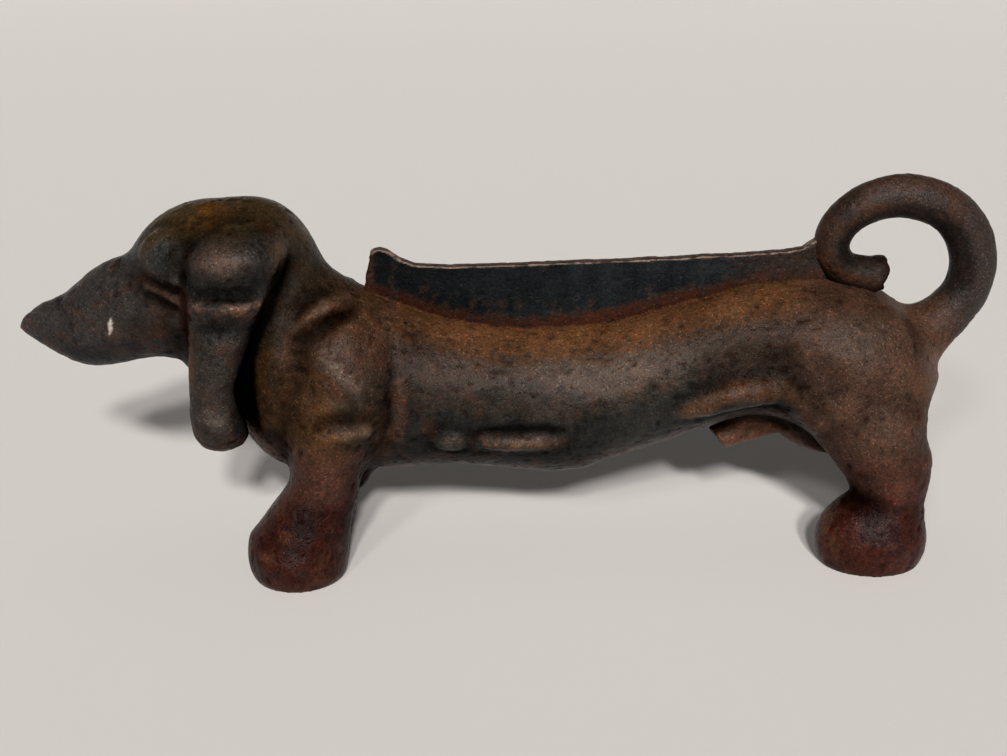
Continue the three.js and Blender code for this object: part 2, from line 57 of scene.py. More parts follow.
# x, middle height, half height, half width
TRUNK = [(-122, 104, 30, 24), (-104, 104, 43, 35), (-85, 103.5, 48, 38.5), (-60, 101, 47, 38.5), (-28, 97.3, 42, 38),
         (2, 93.5, 40.8, 38), (26, 92, 41.8, 38.5), (42, 93, 41.6, 38.5), (56, 96, 39.6, 38), (80, 103.2, 38.6, 38),
         (100, 109.4, 38, 38), (116, 114.2, 37.4, 38), (132, 119, 37, 38.5), (160, 121, 38.5, 39.5), (185, 118.5, 40, 40.5),
         (208, 113, 37.5, 39), (225.5, 106.7, 29, 31), (237.5, 103, 15, 16), (243, 102, 3, 4)]
MUZZLE = [(-266.6, 137.6, 0.8, 0.8), (-264, 138.9, 4.4, 3.6), (-260, 138.9, 7.6, 6), (-254, 139, 11.6, 9), (-248, 138, 14.8, 11.4),
          (-241, 137.6, 18.3, 14.6), (-234, 139, 22.4, 17.6), (-227, 141.2, 26, 20.2), (-218, 144.4, 28.6, 22.8), (-209, 146.8, 29.6, 25),
          (-199, 149.3, 29.6, 27.5), (-184, 151, 29.4, 30), (-170, 153, 25, 26)]
# height, middle x, middle y, half length, half thickness
EAR = [(78.5, -153, 40, 2, 1.5), (80, -153, 40, 7.5, 5), (83, -152.4, 39.5, 12.2, 8.6), (89, -152.7, 39, 14.8, 12), (96, -153.2, 38.6, 15.2, 14),
       (105, -153.9, 38.2, 14.4, 14.6), (116, -154, 37.8, 13.6, 14.4), (124, -152.4, 37.5, 15, 13.8), (134, -149.4, 37.2, 17.2, 12.6), (140.5, -148, 37, 18.2, 11.4),
       (144.5, -147.2, 36.6, 18.8, 10.2), (148.5, -146.4, 36.3, 19.4, 9.4), (153, -145.6, 36.4, 20, 10), (158, -145, 37, 20.4, 11.4), (161, -144.5, 37.2, 20.8, 12.4),
       (163.4, -143.8, 36.6, 21.2, 11.2), (165.6, -142.8, 35.6, 22, 9.6), (168.5, -141.6, 34.8, 22.8, 9.4), (173, -140.4, 34, 23.8, 10.6), (179, -139.4, 32.6, 24.2, 13.6),
       (186, -138.8, 30.4, 22, 16.2), (193, -138, 26, 16, 12.4), (198, -138, 22, 8, 6)]
# x, height, radius along the tail
TAIL = [(228.5, 120.5, 16.2), (234.7, 129, 15.0), (246.2, 139.9, 13.2), (254.6, 152.1, 12.5), (257.1, 167.6, 12.6), (252.3, 184.6, 12.5),
        (239.5, 198.2, 12.2), (217.6, 205, 11.9), (197.6, 201.2, 11), (183.6, 190.6, 10.1), (179.2, 177.1, 9.7), (185.6, 165.6, 9.7),
        (199.5, 161.7, 9.9), (206.5, 162.3, 10)]
BLADE_EDGE = [(-72.6, 172), (-71.6, 177.4), (-69.5, 179.4), (-66.5, 180), (-62.5, 178.8), (-55.5, 174), (-47.5, 170.8), (-28.4, 169.7),
              (12, 170.4), (53.4, 171.4), (92, 172.8), (132.4, 174.3), (152, 175.6), (163, 177.4), (170, 181.5), (176, 187)]
# x, height, turn of the slot
SCREWS = {"neck_screw": (-110, 137, 0.5), "front_blade_screw": (-40, 115, 1.3), "rear_blade_screw": (118, 128, 2.2), "tail_screw": (211, 117, 0.9)}
SHANK_R, HEAD_R, POCKET_R, SEAT_Y, HEAD_TOP_Y, SHANK_END_Y = 3.175, 5.5, 6.2, 26.0, 30.8, -26.5
# where the tail leaves the rump
JOIN_POINT = (232.5, 127.5)
JOIN_NORMAL = (0.7507, 0.6606)
LAP = 0.5
CAP_HALF = 15.5


# ------------------------------------------------------------------ fields
def smin(a, b, k):
    k = np.maximum(k, 1e-6)
    h = np.maximum(k - np.abs(a - b), 0) / k
    return np.minimum(a, b) - h * h * k * 0.25


def smax(a, b, k):
    return -smin(-a, -b, k)


def step(a, b, v):
    t = np.clip((v - a) / (b - a), 0, 1)
    return t * t * (3 - 2 * t)


def cubic(stations):
    """Monotone cubic through the stations: knots, values and slopes."""
    s = np.array(stations, float)
    x, v = s[:, 0], s[:, 1:]
    h = np.diff(x)[:, None]
    d = np.diff(v, axis=0) / h
    m = np.zeros_like(v)
    m[0], m[-1] = d[0], d[-1]
    for i in range(1, len(x) - 1):
        for j in range(v.shape[1]):
            a, b = d[i - 1, j], d[i, j]
            if a * b > 0:
                w1, w2 = 2 * h[i, 0] + h[i - 1, 0], h[i, 0] + 2 * h[i - 1, 0]
                m[i, j] = (w1 + w2) / (w1 / a + w2 / b)
    return x, v, m


def along(q, curve):
    x, v, m = curve
    i = np.clip(np.searchsorted(x, q) - 1, 0, len(x) - 2)
    h = x[i + 1] - x[i]
    t = np.clip((q - x[i]) / h, 0, 1)
    t2, t3 = t * t, t * t * t
    return [(2 * t3 - 3 * t2 + 1) * v[i, j] + (t3 - 2 * t2 + t) * h * m[i, j] + (3 * t2 - 2 * t3) * v[i + 1, j] + (t3 - t2) * h * m[i + 1, j]
            for j in range(v.shape[1])]


def egg(c, r, turn=0.0):
    co, si = math.cos(math.radians(turn)), math.sin(math.radians(turn))

    def f(x, y, z):
        px, py, pz = x - c[0], y - c[1], z - c[2]
        qx, qz = co * px - si * pz, si * px + co * pz
        k0 = np.sqrt((qx / r[0]) ** 2 + (py / r[1]) ** 2 + (qz / r[2]) ** 2)
        k1 = np.sqrt((qx / r[0] ** 2) ** 2 + (py / r[1] ** 2) ** 2 + (qz / r[2] ** 2) ** 2)
        return k0 * (k0 - 1) / np.maximum(k1, 1e-6)

    e = np.array([math.hypot(co * r[0], si * r[2]), r[1], math.hypot(si * r[0], co * r[2])])
    return f, np.array(c, float) - e, np.array(c, float) + e


def cone(a, b, ra, rb, sy=1.0):
    a, b = np.array(a, float), np.array(b, float)
    d = b - a
    dy = d[1] / sy
    length2 = d[0] ** 2 + dy ** 2 + d[2] ** 2

    def f(x, y, z):
        px, py, pz = x - a[0], (y - a[1]) / sy, z - a[2]
        t = np.clip((px * d[0] + py * dy + pz * d[2]) / length2, 0, 1)
        e = np.sqrt((px - t * d[0]) ** 2 + (py - t * dy) ** 2 + (pz - t * d[2]) ** 2) - (ra + t * (rb - ra))
        return e * min(1.0, sy)

    s = np.array([1, sy, 1])
    return f, np.minimum(a - ra * s, b - rb * s), np.maximum(a + ra * s, b + rb * s)


def loft(stations):
    curve = cubic(stations)
    s = np.array(stations, float)

    def f(x, y, z):
        zc, h, w = along(x, curve)
        h, w = np.maximum(h, 0.3), np.maximum(w, 0.3)
        q = np.sqrt((y / w) ** 2 + ((z - zc) / h) ** 2)
        g = np.sqrt((y / w ** 2) ** 2 + ((z - zc) / h ** 2) ** 2)
        d = q * (q - 1) / np.maximum(g, 1e-6)
        e = np.maximum(np.maximum(s[0, 0] - x, x - s[-1, 0]), 0)
        return np.where(e > 0, np.sqrt(e ** 2 + np.maximum(d, 0) ** 2), d)

    return f, np.array([s[0, 0], -s[:, 3].max(), (s[:, 1] - s[:, 2]).min()]), np.array([s[-1, 0], s[:, 3].max(), (s[:, 1] + s[:, 2]).max()])


def upright(stations):
    curve = cubic(stations)
    s = np.array(stations, float)

    def f(x, y, z):
        xc, yc, a, b = along(z, curve)
        a, b = np.maximum(a, 0.3), np.maximum(b, 0.3)
        q = np.sqrt(((x - xc) / a) ** 2 + ((y - yc) / b) ** 2)
        g = np.sqrt(((x - xc) / a ** 2) ** 2 + ((y - yc) / b ** 2) ** 2)
        d = q * (q - 1) / np.maximum(g, 1e-6)
        e = np.maximum(np.maximum(s[0, 0] - z, z - s[-1, 0]), 0)
        return np.where(e > 0, np.sqrt(e ** 2 + np.maximum(d, 0) ** 2), d)

    lo = np.array([(s[:, 1] - s[:, 3]).min(), (s[:, 2] - s[:, 4]).min(), s[0, 0]])
    hi = np.array([(s[:, 1] + s[:, 3]).max(), (s[:, 2] + s[:, 4]).max(), s[-1, 0]])
    return f, lo, hi


def rope(points):
    links = [cone(a[:3], b[:3], a[3], b[3]) for a, b in zip(points[:-1], points[1:])]

    def f(x, y, z):
        d = links[0][0](x, y, z)
        for link in links[1:]:
            d = np.minimum(d, link[0](x, y, z))
        return d

    p = np.array(points, float)
    return f, (p[:, :3] - p[:, 3:]).min(0), (p[:, :3] + p[:, 3:]).max(0)


def rod(a, b, r, end):
    """Round rod whose near end is cut on a slant; end is the cut's outward direction."""
    a, b, end = np.array(a, float), np.array(b, float), np.array(end, float)
    d = b - a
    length = np.linalg.norm(d)
    d /= length
    end /= np.linalg.norm(end)

    def f(x, y, z):
        px, py, pz = x - a[0], y - a[1], z - a[2]
        t = px * d[0] + py * d[1] + pz * d[2]
        q = np.sqrt(np.maximum(px * px + py * py + pz * pz - t * t, 0)) - r + 1.2
        w = np.maximum(px * end[0] + py * end[1] + pz * end[2], t - length) + 1.2
        return np.minimum(np.maximum(q, w), 0) + np.sqrt(np.maximum(q, 0) ** 2 + np.maximum(w, 0) ** 2) - 1.2

    return f, np.minimum(a, b) - 2 * r, np.maximum(a, b) + 2 * r


MID, BOTH, LEFT, RIGHT = (1,), (-1, 1), (-1,), (1,)
# sign, blend, shape, sides, how much further back the right-hand one stands
FORMS = [
    (1, 0, loft(TRUNK), MID, 0),
    (1, 16, cone((-146, 0, 152), (-100, 0, 108), 47, 50, 0.74), MID, 0),
    (1, 6, egg((-154.5, 0, 165), (49.5, 36, 43)), MID, 0),
    (1, 6, egg((-135, 0, 165.4), (36, 34, 43.2)), MID, 0),
    (1, 7, loft(MUZZLE), MID, 0),
    (1, 7, egg((-89, 23, 111), (27, 24.5, 40), 6), BOTH, 0),
    (1, 12, egg((-111.5, 0, 87), (33, 33, 31)), MID, 0),
    (1, 14, cone((191.5, 22, 106), (210, 26, 60), 37, 21.5, 0.58), BOTH, 0.55 * HIND_BACKSET),
    (1, 8, egg((-97, 0, 62), (24, 18, 30)), MID, 0),
    (1, 8, egg((191, 0, 88), (44, 16, 32)), MID, 0),
    (1, 10, cone((-93, 28, 90), (-100.5, 30, 50), 22, 18.5), BOTH, -2.0),
    (1, 4, cone((-100.5, 30, 50), (-116, 31.5, 14), 18.2, 28.4), LEFT, 0),
    (1, 4, cone((-98, 30, 40), (-112.5, 33, 10), 15.5, 23), RIGHT, 0),
    (1, 10, cone((208, 26, 80), (215.2, 25.5, 50), 21, 17.8), BOTH, HIND_BACKSET),
    (1, 7, egg((222.5, 25, 62), (11.5, 14, 13)), BOTH, 0.6 * HIND_BACKSET),
    (1, 5, cone((216, 25.5, 50), (216, 25, 34), 17.4, 18), BOTH, HIND_BACKSET),
    (1, 7, egg((206, 25, 14), (31, 24.5, 29)), LEFT, 0),
    (1, 7, egg((226.5, 26, 6), (24, 22.5, 20)), RIGHT, 0),
    (1, 5, rope([(93, 33, 96.5, 2.5), (101, 34, 98.5, 5.5), (110, 34.5, 101.5, 8), (122, 35, 106, 9.5), (137, 35, 109, 9.5), (149, 34.5, 108.8, 8), (159, 33.5, 103, 7), (171, 31, 89, 7)]), BOTH, 0),
    (1, 1.5, rod((120.3, -1.5, 67), (166, -1.5, 80.4), 6.9, (-0.8, -0.2, -0.58)), MID, 0),
    (1, 6, egg((146, 0, 84), (26, 9, 8), -18), MID, 0),
    (1, 5, egg((8, 33, 80), (26, 8.5, 5.6), -1), BOTH, 0),
    (1, 5, egg((-29, 33.4, 80.8), (9, 6, 6)), BOTH, 0),
    (1, 4, upright(EAR), BOTH, 0),
    (1, 9, egg((-139, 25, 184.5), (25, 25.5, 14.5), -8), BOTH, 0),
    (1, 10, egg((-120, 17, 119), (16, 22.5, 37)), BOTH, 0),
    (1, 8, rope([(-168, 29, 184, 3), (-169.5, 30.5, 168, 4), (-171, 30, 152, 3)]), BOTH, 0),
    # gap behind the ear, the softer one in front of it, and the hollow of the neck
    (-1, 5, rope([(-109, 34, 190, 0.8), (-114.5, 36.5, 177, 1.8), (-120.3, 38.5, 162, 2.8), (-126.8, 40, 145, 3.6), (-133.6, 40.5, 127, 4.8), (-138, 40, 112, 5), (-139.4, 37, 97, 3.4)]), BOTH, 0),
    (-1, 4, rope([(-167, 36, 176, 0.3), (-169.5, 38, 160, 0.5), (-171, 37.5, 140, 1), (-172, 36.5, 124, 1.2)]), BOTH, 0),
    (-1, 12, rope([(-109, 51, 131, 4), (-110, 53, 112, 6), (-109, 52, 94, 4)]), BOTH, 0),
    # eye and the creases under it
    (1, 9, egg((-177.8, 22.6, 183), (12, 6.4, 12.5), -38), BOTH, 0),
    (1, 6, rope([(-187, 28.6, 168.5, 0.8), (-179, 30, 165, 1.2), (-171, 31.4, 162.5, 1)]), BOTH, 0),
    (-1, 3.5, rope([(-192.5, 28.4, 177.5, 0.8), (-190, 30, 174.8, 1.3), (-185.5, 31.5, 171.6, 1.7), (-179.5, 33, 169.4, 1.7), (-171, 34.6, 168, 1.4)]), BOTH, 0),
    (-1, 5, rope([(-187, 30.8, 164, 0.3), (-181, 32.6, 161, 0.6), (-173, 34.6, 158, 0.6)]), BOTH, 0),
    # fold of the ear and the lip at its foot
    (1, 2, rope([(-159, 45.4, 160.4, 0.5), (-144, 48, 161.2, 0.9), (-131, 45.4, 162.4, 0.4)]), BOTH, 0),
    (-1, 1.5, rope([(-166, 45, 89, 0.5), (-161, 48.5, 85.6, 1), (-154.5, 50.5, 83.6, 1.2), (-148, 49, 85, 1), (-143, 46, 88, 0.5)]), BOTH, 0),
    # neck fold, shoulder, elbow and flank
    (1, 7, rope([(-109, 32, 144.5, 2), (-102.5, 31.3, 149.4, 4.6), (-94, 26, 153, 5), (-86, 15, 154, 2.5)]), BOTH, 0),
    (-1, 6, rope([(-112, 42.5, 139.5, 1), (-103, 40.8, 144.4, 2.4), (-94, 37, 148, 2.8), (-86, 30.5, 150.6, 2), (-78, 24, 152.5, 0.6)]), BOTH, 0),
    (-1, 3, rope([(-59.5, 40.7, 121, 0.6), (-61.5, 41.3, 111, 1.4), (-63, 41.3, 99, 1.6), (-65, 39.8, 88, 1.3), (-66.5, 37, 78, 0.6)]), BOTH, 0),
    (1, 4, rope([(-55, 34.2, 114, 2.5), (-56, 34.8, 99, 4.4), (-57.5, 32.6, 84, 3.6)]), BOTH, 0),
    (1, 5, rope([(-97, 43, 90, 2), (-85, 45.4, 89.6, 4), (-74, 42, 90.4, 2)]), BOTH, 0),
    (-1, 7, rope([(-100, 49, 96.5, 1.5), (-86, 52, 97.5, 4), (-71, 48, 98, 1.5)]), BOTH, 0),
    (-1, 4, rope([(-15, 39.8, 86.4, 0.6), (2, 40.8, 87.6, 1.5), (19, 40.8, 88.4, 1.5), (31, 39.9, 87.4, 0.9)]), BOTH, 0),
    # hollow of the loin above the flank fold, and under the thigh
    (-1, 14, rope([(104, 51, 123, 7), (128, 52, 129, 10.5), (152, 52, 126, 10), (172, 53, 112, 8)]), BOTH, 0),
    (-1, 4.5, rope([(96, 40, 105, 0.5), (109, 41.2, 112, 1.1), (122, 41.2, 117.4, 1.3), (135, 41, 120, 1.1), (148, 40.8, 120.5, 0.7)]), BOTH, 0),
    # crease at the front of the hind foot
    (-1, 6, rope([(189, 40, 50, 0.5), (198, 44, 46.5, 1.2), (207, 46.5, 44, 0.6)]), LEFT, 0),
]
TRUNK_CURVE = cubic(TRUNK)


def forms(p, reach=5.0):
    """Distance to the joined forms at points p, in millimetres before the shift."""
    x, y, z = (np.ascontiguousarray(p[:, i], dtype=np.float32) for i in range(3))
    out = np.full(len(p), 60.0, np.float32)
    for sign, k, (f, lo, hi), sides, back in FORMS:
        m = k + reach
        for side in sides:
            xs = x - back if (side > 0 and back) else x
            ys = y if side > 0 else -y
            near = np.nonzero((xs >= lo[0] - m) & (xs <= hi[0] + m) & (ys >= lo[1] - m) & (ys <= hi[1] + m) & (z >= lo[2] - m) & (z <= hi[2] + m))[0]
            if not len(near):
                continue
            d = f(xs[near], ys[near], z[near]).astype(np.float32)
            out[near] = smin(out[near], d, k) if sign > 0 else smax(out[near], -d, k)
    return out


def spline(points, n):
    p = np.array(points, float)
    out = []
    for i in range(len(p) - 1):
        a, b, c, d = p[max(i - 1, 0)], p[i], p[i + 1], p[min(i + 2, len(p) - 1)]
        for t in np.arange(n) / n:
            out.append(0.5 * (2 * b + (c - a) * t + (2 * a - 5 * b + 4 * c - d) * t * t + (3 * b - a - 3 * c + d) * t ** 3))
    out.append(p[-1])
    return np.array(out)


TAIL_LINE = spline(TAIL, 5)


def bar(p, line):
    x, y, z = p[:, 0], p[:, 1], p[:, 2]
    out = np.full(len(p), 60.0)
    for a, b in zip(line[:-1], line[1:]):
        d = cone((a[0], 0, a[1]), (b[0], 0, b[1]), a[2], b[2])
        near = np.nonzero((np.abs(x - a[0]) < 34) & (np.abs(z - a[1]) < 34))[0]
        if len(near):
            out[near] = np.minimum(out[near], d[0](x[near], y[near], z[near]))
    return out


def hashed(ix, iy, iz, seed):
    h = (ix * 374761393 + iy * 668265263 + iz * 1274126177 + seed * 974634777) & 0xFFFFFFFF
    h = ((h ^ (h >> 13)) * 1103515245) & 0xFFFFFFFF
    h = ((h ^ (h >> 16)) * 2246822519) & 0xFFFFFFFF
    return ((h ^ (h >> 15)) & 0xFFFF) / 32767.5 - 1.0


def noise(p, size, seed):
    """Smooth value noise, -1 to 1, with lumps of about size millimetres."""
    q = p / size
    i = np.floor(q).astype(np.int64)
    f = q - i
    u = f * f * f * (f * (f * 6 - 15) + 10)
    out = 0.0
    for dx in (0, 1):
        for dy in (0, 1):
            for dz in (0, 1):
                w = (u[:, 0] if dx else 1 - u[:, 0]) * (u[:, 1] if dy else 1 - u[:, 1]) * (u[:, 2] if dz else 1 - u[:, 2])
                out = out + w * hashed(i[:, 0] + dx, i[:, 1] + dy, i[:, 2] + dz, seed)
    return out


def fbm(p, size, seed, octaves=3):
    out, a = 0.0, 1.0
    for n in range(octaves):
        out = out + a * noise(p + 17.3 * n, size / 2 ** n, seed + 31 * n)
        a *= 0.55
    return out / 1.6


def plane(p):
    return (p[:, 0] - JOIN_POINT[0]) * JOIN_NORMAL[0] + (p[:, 2] - JOIN_POINT[1]) * JOIN_NORMAL[1]


def joined_rump(p, base):
    """The forms with the tail's root run into them: soft above, sharp at the back."""
    near = np.nonzero((p[:, 0] > 205) & (p[:, 2] > 88) & (p[:, 2] < 175))[0]
    out = np.array(base, float)
    if len(near):
        q = p[near]
        k = np.interp(q[:, 0], [234, 245], [13, 3])
        out[near] = smin(out[near], bar(q, TAIL_LINE[:26]), k)
    return out


def rump_and_tail(p):
    return joined_rump(p, forms(p, 14.0))


def casting(p, reach=5.0):
    """Both castings as one body, with the screw holes, before they are parted."""
    d = joined_rump(p, forms(p, reach))
    # the tail's flare ends 15.5 mm either side of the middle
    d = np.maximum(d, np.minimum(plane(p) - LAP, CAP_HALF - LAP - np.abs(p[:, 1])))
    for x, z, _ in SCREWS.values():
        r = np.hypot(p[:, 0] - x, p[:, 2] - z)
        hole = np.maximum(r - SHANK_R - 0.3, np.maximum(SHANK_END_Y - 0.6 - p[:, 1], p[:, 1] - 60))
        pocket = np.maximum(r - POCKET_R, SEAT_Y - p[:, 1])
        d = np.maximum(d, -np.minimum(hole, pocket))
    return np.maximum(d, -p[:, 2])


def polygon(x, z, outline):
    """Signed distance to a closed outline, negative inside."""
    o = np.array(outline, float)
    best = np.full(len(x), 1e9)
    inside = np.zeros(len(x), bool)
    for a, b in zip(o, np.roll(o, -1, axis=0)):
        e = b - a
        wx, wz = x - a[0], z - a[1]
        t = np.clip((wx * e[0] + wz * e[1]) / (e @ e), 0, 1)
        best = np.minimum(best, (wx - e[0] * t) ** 2 + (wz - e[1] * t) ** 2)
        if e[1] != 0:
            cross = ((a[1] > z) != (b[1] > z)) & (x < e[0] * (z - a[1]) / e[1] + a[0])
            inside ^= cross
    return np.where(inside, -1, 1) * np.sqrt(best)


BLADE_OUTLINE = [(-76.2, 140), (-75.8, 152), (-74.2, 164)] + BLADE_EDGE + [(176, 120), (60, 120), (-40, 125)]


def blade(p):
    x, y, z = p[:, 0], p[:, 1], p[:, 2]
    ragged = step(-66, -72, x)
    d2 = polygon(x, z, BLADE_OUTLINE) + ragged * (0.8 * noise(p, 4.5, 3) + 0.5 * noise(p, 2.2, 4)) + 0.22 * noise(p, 16, 5) + 0.16 * noise(p, 4, 6)
    # the plate thins a little upwards and has a low bead along its top edge
    half = BLADE_T / 2 - 0.35 * step(135, 172, z) + 0.3 * step(-5.5, -1.5, d2) + 0.12 * noise(p * [1, 0, 1] + [0, 20, 0], 14, 7)
    dy = np.abs(y) - half
    r = 1.0
    a, b = d2 + r, dy + r
    d = np.minimum(np.maximum(a, b), 0) + np.sqrt(np.maximum(a, 0) ** 2 + np.maximum(b, 0) ** 2) - r
    d = np.maximum(d, -forms(p) - 1.2)
    # the rear end stops just inside the skin of the tail
    near = np.nonzero(x > 150)[0]
    if len(near):
        d[near] = np.maximum(d[near], -bar(p[near], TAIL_LINE) - 1.2)
    return d


def tail(p):
    d = bar(p, TAIL_LINE)
    base = forms(p, 14.0)
    near = (p[:, 0] > 214) & (p[:, 2] < 175)
    k = np.interp(p[:, 0], [234, 245], [13, 3])
    d = np.where(near, smin(d, np.where(near, base, 60.0), k), d)
    plug = np.maximum(bar(p, TAIL_LINE[:26]) + 2.5, -3.0 - plane(p))
    d = np.where(p[:, 0] > 213, np.minimum(np.maximum(d, -LAP - plane(p)), plug), d)
    d = np.maximum(d, np.abs(p[:, 1]) - CAP_HALF - LAP)
    d = np.where((p[:, 0] <= 213) & (p[:, 2] < 140), 5.0, d)
    # the curl rests on the rump
    d = np.where(p[:, 0] <= 213, np.maximum(d, -base - 1.2), d)
    # broken end of the bar
    tip = np.array([208.4, 0, 161.6])
    cut = (p[:, 0] - tip[0]) * 0.985 - (p[:, 2] - tip[2]) * 0.17 + 1.5 * noise(p, 5.5, 11) + 0.8 * noise(p, 2.6, 12)
    zone = (p[:, 0] > 196) & (p[:, 0] < 224) & (p[:, 2] > 148) & (p[:, 2] < 176)
    d = np.where(zone, smax(d, cut, 1.0), d)
    return d


def screw(x0, z0, turn):
    def f(p):
        x, y, z = p[:, 0] - x0, p[:, 1], p[:, 2] - z0
        r = np.hypot(x, z)
        shank = np.maximum(r - SHANK_R + 0.18 * (1 + np.cos(y * 2 * math.pi / 1.6 + np.arctan2(z, x))) * (y < 8), np.maximum(SHANK_END_Y - y, y - 27))
        dome = np.sqrt(r ** 2 + (y - (HEAD_TOP_Y - 13.0)) ** 2) - 13.0
        head = smax(np.maximum(r - HEAD_R, SEAT_Y + 0.3 - y), dome, 0.8)
        across = np.abs(-x * math.sin(turn) + z * math.cos(turn))
        slot = np.maximum(across - 0.75, HEAD_TOP_Y - 1.9 - y)
        return np.maximum(np.minimum(shank, head), -slot)

    return f


# ------------------------------------------------------------------ meshes
def nets(f, lo, hi, vox, block=5):
    """Surface of f as quads that face out, worked out only near the surface."""
    lo = np.array(lo, float)
    n = np.ceil((np.array(hi, float) - lo) / (vox * block)).astype(int)
    big = vox * block
    cx, cy, cz = (lo[i] + np.arange(n[i] + 1) * big for i in range(3))
    g = np.stack(np.meshgrid(cx, cy, cz, indexing="ij"), -1).reshape(-1, 3)
    fc = f(g).reshape(n + 1)
    near = np.full(n, 1e9)
    for i in (0, 1):
        for j in (0, 1):
            for k in (0, 1):
                near = np.minimum(near, np.abs(fc[i:n[0] + i, j:n[1] + j, k:n[2] + k]))
    active = near < 1.25 * big
    grow = lambda a: np.repeat(np.repeat(np.repeat(a, block, 0), block, 1), block, 2)
    F = np.pad(grow(fc[:-1, :-1, :-1]), ((0, 1), (0, 1), (0, 1)), mode="edge").astype(np.float32)
    want = np.pad(grow(active), ((0, 1), (0, 1), (0, 1)))
    for ax in range(3):
        moved = np.zeros_like(want)
        a, b = [slice(None)] * 3, [slice(None)] * 3
        a[ax], b[ax] = slice(1, None), slice(0, -1)
        moved[tuple(a)] = want[tuple(b)]
        want |= moved
    ijk = np.argwhere(want)
    F[want] = f(lo + ijk * vox)
    neg = F < 0
    total = np.zeros(np.array(F.shape) - 1, np.uint8)
    sh = F.shape
    for i in (0, 1):
        for j in (0, 1):
            for k in (0, 1):
                total += neg[i:sh[0] - 1 + i, j:sh[1] - 1 + j, k:sh[2] - 1 + k]
    cell = (total > 0) & (total < 8)
    idx = np.full(cell.shape, -1, np.int32)
    at = np.argwhere(cell)
    idx[cell] = np.arange(len(at))
    I, J, K = at.T
    acc, cnt = np.zeros((len(at), 3)), np.zeros(len(at))
    for ax in range(3):
        for u in (0, 1):
            for v in (0, 1):
                a = [u, v]
                a.insert(ax, 0)
                b = [u, v]
                b.insert(ax, 1)
                fa, fb = F[I + a[0], J + a[1], K + a[2]], F[I + b[0], J + b[1], K + b[2]]
                hit = (fa < 0) != (fb < 0)
                t = np.where(hit, fa / np.where(fa == fb, 1, fa - fb), 0)
                q = at + np.array(a, float)
                q[:, ax] += t
                acc += np.where(hit[:, None], q, 0)
                cnt += hit
    V = lo + acc / cnt[:, None] * vox
    quads = []
    for ax in range(3):
        a, b = [slice(None)] * 3, [slice(None)] * 3
        a[ax], b[ax] = slice(0, -1), slice(1, None)
        first, second = neg[tuple(a)], neg[tuple(b)]
        e = np.argwhere(first != second)
        o = [i for i in range(3) if i != ax]
        ok = np.ones(len(e), bool)
        for i in o:
            ok &= (e[:, i] > 0) & (e[:, i] < sh[i] - 1)
        e = e[ok]

        def cell_at(d0, d1):
            c = e.copy()
            c[:, o[0]] -= d0
            c[:, o[1]] -= d1
            return idx[c[:, 0], c[:, 1], c[:, 2]]

        q = np.stack([cell_at(1, 1), cell_at(0, 1), cell_at(0, 0), cell_at(1, 0)], -1)
        inside = first[e[:, 0], e[:, 1], e[:, 2]]
        flip = inside if ax != 1 else ~inside
        quads.append(np.where(flip[:, None], q, q[:, ::-1]))
    return V, np.concatenate(quads)


def facing(V, Q):
    n = np.cross(V[Q[:, 2]] - V[Q[:, 0]], V[Q[:, 3]] - V[Q[:, 1]])
    N = np.zeros_like(V)
    for i in range(4):
        for j in range(3):
            N[:, j] += np.bincount(Q[:, i], n[:, j], len(V))
    return N / np.maximum(np.linalg.norm(N, axis=1, keepdims=True), 1e-9)


def settle(V, f, reach=1.0, h=0.25):
    """Moves the vertices on to the surface of f."""
    d = f(V)
    g = np.stack([f(V + h * np.eye(3)[i]) - d for i in range(3)], -1) / h
    g2 = np.maximum((g * g).sum(1), 0.25)
    move = -(d / g2)[:, None] * g
    size = np.linalg.norm(move, axis=1, keepdims=True)
    return V + move * np.minimum(1, reach / np.maximum(size, 1e-9))


def crisp(V, f, tol, at_plane):
    """Pulls the rim of the tail's join out to its sharp corner."""
    n = np.array([JOIN_NORMAL[0], 0, JOIN_NORMAL[1]])
    V = V.copy()
    at = np.nonzero((np.abs(plane(V) - at_plane) < tol) & (np.abs(f(V)) < tol))[0]
    for _ in range(3):
        q = V[at]
        q = q - (plane(q) - at_plane)[:, None] * n
        d = f(q)
        g = np.stack([f(q + 0.25 * np.eye(3)[i]) - d for i in range(3)], -1) / 0.25
        g = g - (g @ n)[:, None] * n
        q = q - (d / np.maximum((g * g).sum(1), 0.25))[:, None] * g
        V[at] = q
    return V


def smoothed(V, Q, rounds=1, amount=0.5):
    for _ in range(rounds):
        s, c = np.zeros_like(V), np.zeros(len(V))
        for i in range(4):
            for k in (1, 3):
                o = Q[:, (i + k) % 4]
                for j in range(3):
                    s[:, j] += np.bincount(Q[:, i], V[o, j], len(V))
                c += np.bincount(Q[:, i], minlength=len(V))
        V = V + amount * (s / np.maximum(c, 1)[:, None] - V)
    return V


def make(name, V, Q):
    """A mesh object in metres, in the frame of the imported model."""
    me = bpy.data.meshes.new(name)
    v = (V + [X_SHIFT, 0, 0]) / 1000.0
    me.vertices.add(len(v))
    me.vertices.foreach_set("co", v.astype(np.float32).ravel())
    me.loops.add(Q.size)
    me.loops.foreach_set("vertex_index", Q.astype(np.int32).ravel())
    me.polygons.add(len(Q))
    me.polygons.foreach_set("loop_start", (np.arange(len(Q)) * 4).astype(np.int32))
    me.update(calc_edges=True)
    me.validate()
    soft = np.ones(len(me.polygons), bool)
    if len(soft) == len(Q):
        soft = np.abs(np.abs(plane(V)) - LAP)[Q].max(1) > 0.2
    me.polygons.foreach_set("use_smooth", soft)
    ob = bpy.data.objects.new(name, me)
    bpy.context.scene.collection.objects.link(ob)
    return ob


